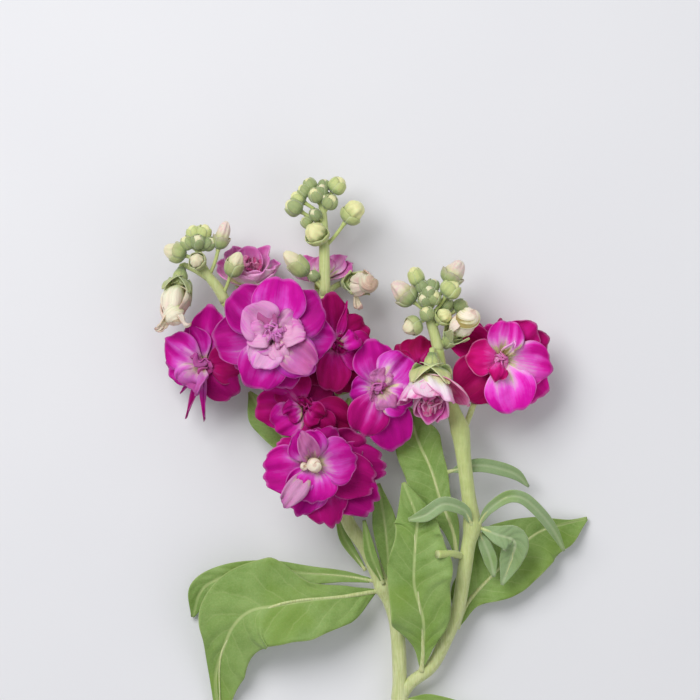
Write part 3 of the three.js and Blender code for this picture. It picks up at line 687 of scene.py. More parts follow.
def within_height(point: Vector) -> Vector:
    """Bends what would pass through the table, or stand above the front bloom's middle, back between them."""
    if point.z < 4:
        point.z = LOWEST + soft_limit(point.z - LOWEST, 3)
    if point.z > 36:
        point.z = HIGHEST - soft_limit(HIGHEST - point.z, 1.5)
    return point


def petal_width(along: float, claw: float) -> float:
    """A petal's width as a part of its widest: a claw, then a broad round limb."""
    if along > PETAL_SHOULDER:
        return math.sqrt(max(1 - ((along - PETAL_SHOULDER) / 0.42) ** 2, 0.02))
    return claw + (1 - claw) * math.sin(math.pi / 2 * max(along, 0.0) / PETAL_SHOULDER) ** 1.6


@dataclass(frozen=True)
class Petal:
    """One petal about its flower's face, in millimetres: out from the axis, and up along it."""

    turn: float
    root: tuple[float, float]
    knee: tuple[float, float]
    tip: tuple[float, float]
    width: float
    cup: float = 0.08
    ruffle: float = 0.6
    phase: float = 0.0
    pale: float = 0.0
    wrap: float = 0.0
    crumple: float = 0.45
    twist: float = 0.0
    claw: float = 0.14
    # From -1 painted deep in shade to 1 painted as catching the light.
    tone: float = 0.0
    pleat: float = 0.14
    scallop: float = 0.015

    def spine(self, place: float) -> Vector:
        """The middle line's point, out and up."""
        return arc(Vector(self.root), Vector(self.knee), Vector(self.tip), place)

    def lift(self, v: float, along: float, place: float, half: float) -> float:
        """How far the blade stands off its middle line: the CAD's ruffle and cup, with finer folds.

        Args:
            v: -1 to 1 over the width.
            along: 0 at the claw and 1 at the tip.
            place: along, shortened towards the sides.
            half: half the width there.

        Returns:
            Millimetres towards the flower's face.
        """
        phase, crumple = self.phase, self.crumple
        spot = Vector((v * half / 4.2, place * 2.6 + phase, phase * 9.7))
        frill = self.ruffle * math.sin(v * 5.5 + phase) * place ** 2
        folds = crumple * bumps(*spot) * 2.0 * smooth(0.1, 0.7, along)
        flutter = crumple * 0.9 * bumps(v * half / 1.9, phase * 5.1, along) * along ** 4
        sides = crumple * 0.7 * bumps(along * 6, v, phase * 3.3) * abs(v) ** 3 * along
        wander = phase * 2 + 1.6 * bumps(*(spot * 0.7))
        rays = self.pleat * math.sin(v * (5 + half) + wander) * (1.15 - along)
        rays += 1.1 * crumple * bumps(v * 2.7, along * 0.8, phase * 7.7)
        rays += max(crumple - 0.5, 0.0) * 0.9 * bumps(v * half / 1.1, phase * 3.1, along * 7)
        crease = -0.3 * math.exp(-(v / 0.16) ** 2) * math.sin(math.pi * min(along * 1.1, 1.0))
        hollow = self.cup * half * v * v
        return frill + folds + flutter + sides + rays * smooth(0.1, 0.4, along) + crease + hollow

    def point(self, across: float, along: float) -> Vector:
        """The blade's point in the flower's frame.

        Args:
            across: -1 to 1 over the width.
            along: 0 at the claw and 1 at the tip.

        Returns:
            The point in millimetres.
        """
        v = -across
        uneven = 0.025 * math.sin(v * 4.2 + self.phase * 3)
        uneven += self.scallop * (abs(math.sin(v * 5 + self.phase * 5)) - 0.6)
        place = along * (1 - 0.13 * v * v) + uneven * along ** 5
        half = self.width / 2 * petal_width(along, self.claw) * 1.1
        if self.width <= 5:
            half *= 1 - 0.75 * along ** 2.5
        turned = Vector((v * half * (1 - self.wrap), self.lift(v, along, place, half)))
        turned.rotate(Matrix.Rotation(self.twist * smooth(0.1, 0.9, along), 2))
        tangent = (self.spine(place + 0.01) - self.spine(place - 0.01)).normalized()
        middle = self.spine(place)
        out = middle.x - tangent.y * turned.y + 1.5 * self.wrap * v * smooth(0.0, 0.3, along)
        bend = max(min(self.wrap * v * half / max(out, 1.6), 1.9), -1.9)
        flat = Vector((out, turned.x, middle.y + tangent.x * turned.y))
        flat.rotate(Matrix.Rotation(math.radians(self.turn) + bend, 3, "Z"))
        return flat


@dataclass(frozen=True)
class Heart:
    """The crumpled small petals in a double flower's middle."""

    count: int = 8
    spread: float = 6.0
    height: float = 8.5
    width: float = 5.5
    pale: float = 0.8
    closed: bool = False
    crumple: float = 0.8
    # The heart petals' painted light and shade, as a petal's tone.
    tone: float = 0.0
    swell: float = 1.4


@dataclass
class Flower:
    """A bloom or an opening bud, from its seat on the cup to its petals' tips.

    A row of its petals is the turn in degrees, reach, width and rise, and for some the knee's out and up.
    Tones run from -1 for petals deep in shade to 1 for those that catch the light.
    """

    name: str
    kind: Kind
    seat: Row
    face: Row
    stalk: Row
    rows: Sequence[Row]
    arch: float = 2.5
    knee: tuple[float, float] = (0.35, 1.0)
    cup: float = 0.08
    ruffle: float = 0.6
    bearer: str = "stem"
    sepals: tuple[float, float, float] | None = None
    heart: Heart = Heart()
    wrap: float = 0.0
    phases: list[float] = field(default_factory=list)
    tones: Sequence[float] = ()
    pleat: float = 0.14
    flaps: Sequence[Row] = ()
    scallop: float = 0.015
    knobs: Sequence[Row] = ()

    def frame(self) -> Matrix:
        """The flower's frame: +Z is the way it faces."""
        face = Vector(self.face).normalized()
        right = (Vector((1, 0, 0)) - face * face.x).normalized()
        turned = Matrix((right, face.cross(right), face)).transposed().to_4x4()
        return Matrix.Translation(Vector(self.seat)) @ turned

    def main_petals(self) -> list[Petal]:
        """The petals that the CAD has too, from the table's rows."""
        petals = []
        for row, phase, tone in zip_longest(self.rows, self.phases, self.tones, fillvalue=0.0):
            turn, reach, width, rise, *bent = row
            knee = tuple(bent) or (reach * self.knee[0], rise * self.knee[1] + self.arch)
            root = (1.3, 0.1) if self.wrap else (0.8, 0.8 + 0.4 * min(max(rise * self.knee[1], 0), 8))
            # From 0 on an outer petal to 1 on a short and upright one in an open bloom.
            inner = smooth(11.8, 9.5, reach) * smooth(6.0, 7.5, rise) if self.cup < 0.1 else 0.0
            folds = 0.15 if width < 5 else 0.25 if self.wrap else 0.5 + 0.7 * inner
            cup = self.cup * (1 - self.wrap) + 0.4 * inner * math.sin(phase * 5)
            wrap = self.wrap if width > 4.5 else 0.0
            rolled = wrap > 0.6
            end = reach * (0.35 if rolled else 1.0)
            width *= (1 + (self.heart.swell - 1) * inner) * (1.25 if wrap and not rolled else 1.0)
            pale = self.heart.pale * inner if tone >= 0 else 0.0
            claw = 0.55 if rolled else 0.8 if wrap else 0.14
            petals.append(Petal(turn, root, knee, (end, rise), width, cup, self.ruffle, phase, pale, wrap,
                                folds, 0.7 * inner * math.sin(phase * 3), claw, tone, self.pleat,
                                self.scallop))
        return petals

    def under_petals(self, draw: random.Random) -> list[Petal]:
        """Petals of the lower layer, one in each gap between two broad ones that stand far apart.

        Args:
            draw: the seeded source of small differences.

        Returns:
            The petals, a little lower and shorter than their neighbours.
        """
        broad = sorted((row for row in self.rows if row[1] > 10.5 and row[2] > 7.5 and len(row) == 4),
                       key=lambda row: row[0] % 360)
        petals = []
        for first, second in zip(broad, broad[1:] + broad[:1]):
            gap = (second[0] - first[0]) % 360
            if not 25 < gap < 120:
                continue
            reach = 0.86 * min(first[1], second[1])
            rise = min(first[3], second[3]) - 1.5
            turn = first[0] + gap / 2 + draw.uniform(-4, 4)
            petals.append(Petal(turn, (0.8, 0.8), (reach * 0.35, rise + self.arch * 0.3), (reach, rise),
                                0.95 * min(first[2], second[2]), self.cup, self.ruffle,
                                draw.uniform(*ANY_PHASE)))
        return petals

    def flap_petals(self, draw: random.Random) -> list[Petal]:
        """Small curled petals that lie over the others: turn, reach, width, rise, cup and tone; the tone makes
        a flap pale above 0, gives its painted light up to 0.25 and its painted shade below 0.
        """
        return [Petal(turn, (0.8, 3.0), (reach * 0.4, rise + 1), (reach, rise), width, cup, 0.3,
                      draw.uniform(*ANY_PHASE), min(max(tone, 0.0), 1.0), crumple=1.1, tone=min(tone, 0.25))
                for turn, reach, width, rise, cup, tone in self.flaps]

    def heart_petals(self, draw: random.Random) -> list[Petal]:
        """The small petals of the middle, the innermost the most upright.

        Args:
            draw: the seeded source of small differences.

        Returns:
            The petals.
        """
        heart = self.heart
        petals = []
        for i in range(heart.count):
            part = (i + 0.5) / heart.count
            out = heart.spread * (0.1 + 0.9 * part) * draw.uniform(0.65, 1.15)
            rise = heart.height * (1 - 0.3 * part) * draw.uniform(0.78, 1.04)
            turn = i * SPIRAL_DEGREES + draw.uniform(-38, 38)
            width = heart.width * (0.7 + 0.5 * part) * draw.uniform(0.75, 1.3)
            phase = draw.uniform(*ANY_PHASE)
            pale = heart.pale * draw.uniform(0.55, 1.15)
            if heart.closed or i < 3 and heart.pale < 1:
                petals.append(Petal(turn, (0.7, 1.0), (out * 1.5 + 0.6, rise * 0.6), (out * 0.4, rise), width,
                                    0.1, self.ruffle, phase, pale, 0.8, heart.crumple * 0.5, claw=0.4,
                                    tone=heart.tone))
            else:
                petals.append(Petal(turn, (0.7, 1.5), (out * 0.45, rise * 0.95), (out, rise), width,
                                    draw.uniform(-0.3, 0.7), 1.3 * self.ruffle, phase, pale, 0.0,
                                    heart.crumple * draw.uniform(0.9, 1.4), draw.uniform(-1.2, 1.2),
                                    tone=heart.tone))
        return petals

    def build(self, draw: random.Random) -> None:
        """Makes the bloom's one piece: its petals in their layers, with the throat between them.

        Args:
            draw: the seeded source of small differences.
        """
        sheet = Sheet()
        place = self.frame()
        faces = []
        for petal in [*self.main_petals(), *self.under_petals(draw), *self.flap_petals(draw),
                      *self.heart_petals(draw)]:
            cells = (16, 16) if petal.width > 7 else (12, 12)
            # The tint's alpha carries the petal's painted light and shade, from its tone.
            tint = (petal.pale, draw.random(), draw.random(), 0.5 - 0.5 * petal.tone)
            faces += sheet.lay(cells, lambda v, u, one=petal: within_height(place @ one.point(v, u)), tint)
        sheet.thicken(faces, PETAL_SKIN, 1)
        self.add_throat(sheet, place)
        for knob in self.knobs:
            self.add_knob(sheet, place, *knob)
        slot, front, back = self.kind.value
        sheet.finish(self.name, self.name, slot, (front, back, THROAT, CREAM_FRONT))

    @staticmethod
    def add_knob(sheet: Sheet, place: Matrix, x: float, y: float, rise: float, size: float, pale: float,
                 tone: float) -> None:
        """Adds a tight ball of petals, wound as one sheet whose free edge spirals up it.

        Args:
            sheet: the bloom's mesh.
            place: the flower's frame.
            x: the ball's middle to the right.
            y: its middle to the back.
            rise: its middle's height.
            size: its radius.
            pale: how cream it is.
            tone: how much light it catches.
        """
        def point(turn: float, along: float) -> Vector:
            """The ball's point, with a step in its radius at the free edge."""
            v = turn / math.pi
            step = 0.1 * (v if v < 0.86 else 0.86 - (v - 0.86) * 13.3) * smooth(0.1, 0.4, along)
            swell = math.sin(math.pi * (0.1 + 0.86 * along)) ** 0.7
            crease = 0.035 * math.sin(7 * turn + 4 * along) * smooth(0.2, 0.6, along)
            out = size * swell * (1 + 1.3 * step + crease + 0.05 * math.sin(3 * turn + x))
            up = rise - size * math.cos(math.pi * along) + 0.12 * size * step
            return within_height(place @ (Vector((x, y, 0)) + ring(out, turn + 5.0 * along, up)))

        def tint(across: float, along: float) -> Tint:
            """The attribute: the ball's painted light and shade by its tone, and painted shade in the crease
            along the free edge.
            """
            edge = smooth(0.74, 0.86, across) * smooth(0.15, 0.4, along)
            return (pale, 0.6, 0.5, 0.5 - 0.5 * tone + 0.8 * edge)
        sheet.wrap((32, 18), point, tint, 3)

    def add_throat(self, sheet: Sheet, place: Matrix) -> None:
        """Adds the olive-green middle that the petals' claws stand on."""
        size = 0.65 if self.wrap else 1.0

        def point(turn: float, along: float) -> Vector:
            """A low cone with a lobed top."""
            out = size * CORE_RADIUS * (1 - along ** 2.2) * (1 + 0.12 * math.sin(4 * turn) * along) + 0.1
            return place @ ring(out, turn, 0.2 + 4.6 * size * along)
        sheet.wrap((16, 6), point, (0.3, 0.5, 0.5, 1.0), 2)


class Look(Enum):
    """How ripe a bud is: lime of the sepals, their flush, how much petal is bare, its pink and yellow."""

    GREEN = (0.3, 0.0, 0.05, 0.0, 0.8)
    LIME = (0.9, 0.0, 0.12, 0.0, 0.9)
    CREAM = (0.6, 0.15, 0.34, 0.15, 0.5)
    PINK = (0.4, 0.4, 0.5, 0.55, 0.15)
    YELLOW = (0.75, 0.0, 0.55, 0.0, 0.9)
    DARK = (0.05, 0.0, 0.03, 0.0, 0.5)


@dataclass(frozen=True)
class Bud:
    """A closed bud on its stalk."""

    root: Vector
    tip: Vector
    length: float
    radius: float
    look: Look

    def girth(self, part: float) -> float:
        """The radius along the bud, 0 at its base and 1 at its tip."""
        side, power = (BUD_SHOULDER, 2.3) if part < BUD_SHOULDER else (0.6, 1.9)
        return self.radius * math.sqrt(max(1 - (abs(part - BUD_SHOULDER) / side) ** power, 0.0))

    def build(self, greens: Sheet, tips: Sheet, draw: random.Random) -> Faces:
        """Adds the bud's stalk, the rolled petals inside and the four sepals round them.

        Args:
            greens: the mesh of the green pieces.
            tips: the mesh of the petals that show.
            draw: the seeded source of small differences.

        Returns:
            The sepals' faces, to be thickened.
        """
        lime, flush, bare, pink, yellow = self.look.value
        way = self.tip - self.root
        start = max(way.length - self.length, 0.0)
        place = axes_along(way, self.root)
        spin = draw.uniform(*ANY_PHASE)
        chance = draw.random()
        if start > 0.5:
            sag = draw.uniform(0.2, 0.5)

            def stalk(turn: float, along: float) -> Vector:
                """A short stalk that swells into the bud's base."""
                swell = 1 + 0.6 * smooth(0.8, 1.0, along) + 0.3 * smooth(0.15, 0.0, along)
                bow = Vector((sag * math.sin(math.pi * along), 0, 0))
                return place @ (bow + ring(BUD_STALK_RADIUS * swell, turn, along * (start + 0.4)))
            greens.wrap((8, 6), stalk, (0.5 + 0.4 * lime, chance, 0.0, 1.0), 1)

        def core(turn: float, along: float) -> Vector:
            """The rolled petals: an egg with pleats that wind round its tip."""
            fold = 0.09 * math.sin(4 * turn + 4 * along + spin) * smooth(0.4, 0.95, along)
            pleat = 0.13 * math.sin(7 * turn + 3 * math.sin(3 * along + spin)) * smooth(0.2, 0.6, along)
            pleat += 0.2 * bumps(*ring(1.6, turn, along * 3 + spin))
            slim = 1 - 0.35 * bare * smooth(0.45, 1.0, along) * (1 - yellow)
            full = self.girth(along ** (1 + 0.6 * yellow * bare)) - 0.25 * (1 - along)
            out = full * 0.95 * slim * (1 + fold + bare * pleat * (1 + yellow))
            return place @ ring(max(out, 0.02), turn,
                                start + self.length * along * (0.99 + 0.14 * bare * (1 - yellow)))
        tips.wrap((36, 14), core, (pink, chance, yellow, 1.0))

        faces = []
        for k in range(4):
            outer = k % 2
            reach = (1 - bare) * (1.0 if outer else 0.95) * draw.uniform(0.95, 1.04)
            half_turn = 0.86 if outer else 0.98
            open_out = draw.uniform(0.0, 0.25) * (1 if bare > 0.3 else 0.3)

            def sepal(across: float, along: float) -> Vector:
                """A boat-shaped sepal that hugs the egg and ends in a blunt point."""
                turn = spin + k * math.pi / 2 + across * half_turn * max(blunt(along, 0.62, 0.39), 0.06)
                part = 0.01 + 0.98 * along * reach
                keel = 0.07 * self.radius * (1 - across ** 2) + 0.04 * self.radius * outer
                out = self.girth(part) * 1.03 + 0.12 + keel + open_out * smooth(0.6, 1.0, along)
                return place @ ring(out, turn, start + self.length * part)
            faces += greens.lay((6, 8), sepal, (lime, draw.random(), flush, 1.0))
        return faces


@dataclass(frozen=True)
class Tube:
    """A round stem along rows of x, y, z and radius, with a little unevenness."""

    rows: Sequence[Row]
    sides: int = 16
    step: float = 2.0
    top: tuple[float, float] = (0.0, 0.6)
    knots: Sequence[tuple[Vector, float]] = ()

    def add_to(self, sheet: Sheet, material: int = 0) -> Faces:
        """Adds the tube to a mesh, in a material's slot, and gives the faces of its two ends."""
        spline = Spline([row[:3] for row in self.rows])
        steps = max(4, round(spline.length() / self.step))
        radii = [row[3] for row in self.rows]
        low, high = self.top
        frames = [self._first_frame(spline)]
        for i in range(1, steps + 1):
            bend = frames[-1].col[2].rotation_difference(spline.tangent(i / steps))
            frames.append(bend.to_matrix() @ frames[-1])

        def point(turn: float, along: float) -> Vector:
            """The skin's point: faint ribs along it, and a swelling at each knot."""
            middle = Vector(spline.at(along))
            spot = along * (len(radii) - 1)
            first = min(int(spot), len(radii) - 2)
            radius = radii[first] + (radii[first + 1] - radii[first]) * (spot - first)
            swell = sum(size * math.exp(-((middle - knot).length / 2.6) ** 2) for knot, size in self.knots)
            ribs = 1 + 0.025 * math.sin(5 * turn + 2 * along) + 0.02 * math.sin(along * spline.length() / 3.1)
            return middle + frames[min(round(along * steps), steps)] @ ring(radius * ribs + swell, turn, 0)

        def tint(_: float, along: float) -> Tint:
            """The attribute, from the foot's colour to the tip's."""
            return (low + (high - low) * along, 0.5, 0.5, 1.0)
        return sheet.wrap((self.sides, steps), point, tint, material)

    @staticmethod
    def _first_frame(spline: Spline) -> Matrix:
        """The frame at the tube's start."""
        way = spline.tangent(0.0)
        side = way.cross(Vector((0, 0, 1)))
        side = side.normalized() if side.length > 0.01 else Vector((1, 0, 0))
        return Matrix((side, way.cross(side), way)).transposed()


def add_cup(sheet: Sheet, flower: Flower, draw: random.Random) -> Faces:
    """Adds what is green under a flower: its stalk, the cup of four sepals and any wide-spread tips.

    Args:
        sheet: the mesh: sepals in slot 0 and the stalk in slot 1.
        flower: the flower.
        draw: the seeded source of small differences.

    Returns:
        The sepals' faces, to be thickened.
    """
    place = flower.frame()
    foot = place @ Vector((0, 0, -CALYX_LENGTH * 0.9))
    route = [Vector(flower.stalk), place @ Vector((0, 0, -CALYX_LENGTH - 1.6)), foot]
    # A very short stalk runs straight.
    if (route[0] - foot).length < 5:
        route.pop(1)
    rows = [[*point, PEDICEL_RADIUS] for point in route]
    Tube(rows, 12, 1.5, (0.3, 0.8), [(route[0], 0.5)]).add_to(sheet, 1)

    def bowl(turn: float, along: float) -> Vector:
        """The closed inside of the cup, which the sepals hug."""
        swell = (0.35 + 0.65 * smooth(0.0, 0.5, along)) * (1 - 0.25 * smooth(0.8, 1.0, along))
        return place @ ring(0.88 * CALYX_RADIUS * swell, turn, CALYX_LENGTH * (along - 1) - CALYX_GAP)
    sheet.wrap((12, 6), bowl, (0.4, 0.5, 0.0, 1.0), 1)

    faces = []
    for k in range(4):
        outer = k % 2
        heading = math.pi / 4 + k * math.pi / 2
        lime, flush = draw.uniform(0.35, 0.8), draw.uniform(0.0, 0.25)
        lime += 0.45 if flower.kind is Kind.PALE else 0.0
        if flower.sepals:
            reach, rise, width = flower.sepals
            stand = reach + 0.5 * outer
            knee, tip = Vector((stand * 0.75, -1.6 - 0.5 * outer)), Vector((stand, rise))

            def blade(across: float, along: float) -> Vector:
                """A sepal that stands off the petals."""
                middle = arc(Vector((1.6, -2.4)), knee, tip, along)
                half = width / 2 * math.sqrt(max(1.02 - along ** 2, 0.02)) * (1.2 + 0.2 * math.cos(3 * along))
                ripple = 0.07 * width * math.sin(across * 4 + along * 5 + k) * smooth(0.1, 0.5, along)
                ripple += 0.25 * bumps(across * 3, along * 3, k * 4.7 + reach)
                flat = Vector((middle.x - 0.14 * half * across ** 2 + ripple * along, across * half, middle.y))
                flat.rotate(Matrix.Rotation(heading, 3, "Z"))
                return place @ flat
            faces += sheet.lay((8, 10), blade, (lime, draw.random(), flush, 1.0))

        def wall(across: float, along: float) -> Vector:
            """A sepal of the cup, swollen at its foot and turned out at its tip."""
            turn = heading + across * (0.84 + 0.1 * outer) * max(blunt(along, 0.6, 0.41), 0.08)
            swell = 0.5 + 0.5 * smooth(0.0, 0.4, along) - 0.1 * smooth(0.5, 0.9, along)
            swell += 0.06 * outer + 0.3 * smooth(0.86, 1.0, along)
            out = CALYX_RADIUS * swell + 0.1 * (1 - abs(across))
            return place @ ring(out, turn, (CALYX_LENGTH + 0.5) * along - CALYX_LENGTH - CALYX_GAP)
        faces += sheet.lay((6, 10), wall, (lime, draw.random(), flush, 1.0))
    return faces


@dataclass(frozen=True)
class BudSpray:
    """The crown of a flowering shoot: its tip, its closed buds and the cups of the buds that open."""

    name: str
    rows: Sequence[Row]
    buds: Sequence[tuple]
    crown: Row
    small: int

    def build(self, flowers: Sequence[Flower], draw: random.Random) -> None:
        """Makes the spray's two pieces: what is green, and the petals that show at the buds' tips.

        Args:
            flowers: the opening buds that the spray bears.
            draw: the seeded source of small differences.
        """
        greens, tips = Sheet(), Sheet()
        faces = []
        for row in self.buds:
            faces += Bud(Vector(row[0:3]), Vector(row[3:6]), *row[6:]).build(greens, tips, draw)
        for bud in self.small_buds(draw):
            faces += bud.build(greens, tips, draw)
        for flower in flowers:
            faces += add_cup(greens, flower, draw)
        greens.thicken(faces, SEPAL_SKIN)
        Tube(self.rows, 16, 1.5, (0.3, 0.6)).add_to(greens, 1)
        greens.finish(self.name, self.name, "buds", (SEPALS, STEM_SKIN))
        tips.finish(self.name + "_tips", self.name, "petal_cream", (BUD_PETALS,))

    def small_buds(self, draw: random.Random) -> list[Bud]:
        """The smallest buds, packed in a spiral round the crown.

        Args:
            draw: the seeded source of small differences.

        Returns:
            The buds.
        """
        crown = Vector(self.crown)
        buds = []
        for i in range(self.small):
            lean = math.sqrt((i + 0.5) / self.small) * 1.25
            side = ring(math.sin(lean), i * SPIRAL_RADIANS, math.cos(lean))
            way = Vector((side.x, side.z * 0.8 + 0.2, side.y * 0.8 + 0.35)).normalized()
            length = draw.uniform(2.4, 3.2)
            tip = crown + way * (length + 0.8)
            buds.append(Bud(crown - way * 0.6, tip, length, length * 0.42, Look.DARK))
        return buds


@dataclass(frozen=True)
class StemAndCups:
    """The branched stem with the stalks and cups of the open flowers."""

    main: Sequence[Row]
    branches: Sequence[Sequence[Row]]
    knots: Sequence[Row]
    stump: Sequence[Row]

    def build(self, flowers: Sequence[Flower], draw: random.Random) -> None:
        """Makes the stem's piece and the cups' piece.

        Args:
            flowers: the flowers that the stem bears.
            draw: the seeded source of small differences.
        """
        sheet = Sheet()
        knots = [(Vector(row[:3]), row[3]) for row in self.knots]
        ends = Tube(self.main, 24, 1.5, (0.0, 0.55), knots).add_to(sheet)
        self.cut(sheet, min(ends, key=lambda face: face.calc_center_median().y))
        for rows in self.branches:
            Tube(rows, 24, 1.5, (0.1, 0.9), knots).add_to(sheet)
        ends = Tube(self.stump, 16, 0.8, (0.5, 0.9)).add_to(sheet)
        max(ends, key=lambda face: face.calc_center_median().z).material_index = 1
        sheet.finish("stem", "stem", "stem", (STEM_SKIN, CUT_PITH))
        cups = Sheet()
        faces = []
        for flower in flowers:
            faces += add_cup(cups, flower, draw)
        cups.thicken(faces, SEPAL_SKIN)
        cups.finish("flower_cups", "stem", "buds", (SEPALS, STEM_SKIN))

    @staticmethod
    def cut(sheet: Sheet, end: bmesh.types.BMFace) -> None:
        """Finishes the face of the cut end: a green rim round pale pith that has sunk a little."""
        for rim, depth in ((0.35, 0.0), (0.8, -0.25)):
            bmesh.ops.inset_region(sheet.mesh, faces=[end], thickness=rim * MM, depth=depth * MM)
            end.material_index = 1


class LeafAge(Enum):
    """Whether a leaf is grown or young: the record's slot with the finish of its two sides."""

    GROWN = ("leaf", LEAF_TOP, LEAF_UNDER)
    YOUNG = ("leaf_young", YOUNG_TOP, YOUNG_UNDER)


@dataclass
class Leaf:
    """A leaf along its midrib: x, y, z and the half widths to the left and right of it."""

    name: str
    wave: float
    fold: float
    age: LeafAge
    rows: Sequence[Row]
    phase: float = 0.0

    def build(self, draw: random.Random) -> None:
        """Makes the blade with its two sides, and the midrib under it that thickens to the stalk.

        Args:
            draw: the seeded source of small differences.
        """
        spine = Spline([row[:3] for row in self.rows])
        widths = Spline([row[3:5] for row in self.rows])
        widest = max(max(row[3:5]) for row in self.rows)
        broad = widest > 6
        up = Vector((0, 0, 1))
        shift = draw.uniform(*ANY_PHASE)
        chance = draw.random()

        def half_at(across: float, along: float) -> float:
            """The half width on a side."""
            return float(widths.at(along)[0 if across < 0 else 1])

        def point(across: float, along: float) -> Vector:
            """The blade's point: folded along the midrib, waved at the edge, puffed between veins."""
            half, off = half_at(across, along), abs(across)
            tooth = 1 + 0.035 * math.sin(along * 23 + shift) * smooth(3.0, 7.0, half) * off
            side = spine.tangent(along).cross(up).normalized()
            ripple = self.wave * math.sin(along * 19 + self.phase + across * 2) * off ** 2
            ripple += 0.3 * self.wave * math.sin(along * 47 + shift + across * 3) * off ** 4
            groove = -0.35 * math.exp(-(across * half / 0.8) ** 2) * smooth(0.0, 0.1, along)
            puff = 0.12 * math.cos(2 * math.pi * (LEAF_VEINS * along - 1.5 * off)) * math.sin(math.pi * off)
            lift = self.fold * half * off + ripple * min(1.0, half / 6)
            lift += (groove + puff * smooth(3.0, 8.0, widest)) * min(1.0, half / 5)
            return Vector(spine.at(along)) + side * (across * half * tooth) + up * lift

        sheet = Sheet()
        cells = (24 if broad else 14, max(16, round(spine.length() / 1.1)))
        faces = sheet.lay(cells, point,
                          lambda across, along: (chance, chance, half_at(across, along) / 20, 1.0))
        sheet.thicken(faces, LEAF_SKIN, 1)
        stalk = 0.85 if broad else 0.6
        # The midrib: how far along, how deep under the blade, and how thick as a part of the stalk.
        rib = [[*(Vector(spine.at(part)) - up * drop), stalk * share] for part, drop, share in (
            (0.0, 0.1, 1.0), (0.12, 0.25, 0.85), (0.35, 0.3, 0.6), (0.65, 0.25, 0.4), (0.93, 0.1, 0.2))]
        inward = Vector(rib[0][:3]) - spine.tangent(0.0) * 1.6
        Tube([[*inward, stalk * 1.15], *rib], 10, 2.0, (0.2, 0.2)).add_to(sheet, 2)
        slot, top, under = self.age.value
        sheet.finish(self.name, self.name, slot, (top, under, STEM_SKIN))


@dataclass(frozen=True)
class Studio:
    """A plain pale table under soft light, with the camera straight above, in millimetres."""

    middle: tuple[float, float, float] = (-6.7, 54.4, 12.0)
    height: float = 2500.0
    width: float = 224.0

    def build(self) -> None:
        """Makes the table, the lights and the camera."""
        scene = bpy.context.scene
        scene.view_settings.view_transform = "Standard"
        self.table()
        scene.world = bpy.data.worlds.new("soft_room")
        scene.world.use_nodes = True
        sky = scene.world.node_tree.nodes["Background"].inputs
        sky[0].default_value = linear("f4f5fa")
        sky[1].default_value = 0.4
        self.lamp("window", (-420, 520, 900), 650, 8.6)
        self.lamp("fill", (650, -350, 800), 900, 1.8)
        x, y, z = self.middle
        camera = bpy.data.cameras.new("camera")
        camera.lens = camera.sensor_width * (self.height - z) / self.width
        camera.clip_end = 20.0
        scene.camera = put("camera", camera)
        scene.camera.location = Vector((x, y, self.height)) * MM

    @staticmethod
    def table() -> None:
        """Makes the table's top."""
        mesh = bmesh.new()
        bmesh.ops.create_grid(mesh, x_segments=8, y_segments=8, size=4.0)
        bmesh.ops.translate(mesh, verts=mesh.verts[:], vec=(0.0, 0.0, -0.05 * MM))
        data = bpy.data.meshes.new("table_top")
        mesh.to_mesh(data)
        mesh.free()
        data.materials.append(paint(BOARD))
        put("table_top", data)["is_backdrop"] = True

    def lamp(self, name: str, place: Row, size: float, power: float) -> None:
        """Adds a soft lamp that shines at the flowers, with its side in millimetres and its power in watts."""
        light = bpy.data.lights.new(name, "AREA")
        light.size = size * MM
        light.energy = power
        lamp = put(name, light)
        lamp.location = Vector(place) * MM
        lamp.rotation_euler = (Vector(self.middle) - Vector(place)).to_track_quat("-Z", "Y").to_euler()


MAIN_STEM = [
    (7.2, -109.4, 2.4, 2.4), (8.2, -83, 3.6, 2.35), (8.7, -57.6, 5.2, 2.3), (8.2, -38.4, 6.8, 2.3),
    (6.6, -28.8, 7.6, 2.35), (3.7, -21.8, 8.2, 2.6), (-2.1, -9.6, 9.6, 2.25), (-8, -0.2, 11, 2.2),
    (-11.4, 16, 13, 2.1), (-13.3, 32, 14.5, 2), (-14.2, 48, 15, 1.95), (-14.9, 60.8, 15.2, 1.85),
    (-15.2, 71.9, 15.4, 1.75),
]
RIGHT_BRANCH = [
    (8.6, -57, 5.2, 1.9), (12.5, -52.2, 5.8, 2), (18.7, -47.3, 7, 2.1), (23.5, -38.1, 9, 2.2),
    (27.2, -28.8, 11, 2.25), (29.3, -16.6, 13.2, 2.3), (30.6, -8, 14.6, 2.3), (31.8, -1.6, 15.6, 2.7),
    (30.6, 7.7, 17, 2.3), (29, 20.2, 18.8, 2.4), (27.8, 29.1, 19.6, 2.9), (25.3, 36.2, 20, 2.2),
    (23.5, 42.2, 20.2, 1.9), (21.9, 48.6, 20.4, 1.8), (20.9, 54.4, 20.6, 1.75),
]
LEFT_BRANCH = [
    (-14, 45, 15, 1.5), (-21.6, 53, 16.2, 1.7), (-35.4, 60.8, 17, 1.7), (-42.4, 65.2, 17.3, 1.7),
    (-47.1, 70.1, 17.5, 1.75),
]
KNOTS = [
    (3.7, -21.8, 8.2, 0.5), (31.8, -1.6, 15.6, 0.35), (8.6, -57, 5.2, 0.5), (27.8, 29.1, 19.6, 0.2),
    (-14.2, 46, 15, 0.35), (-11.4, 14, 12.8, 0.25), (-13.4, 33, 14.5, 0.25),
]
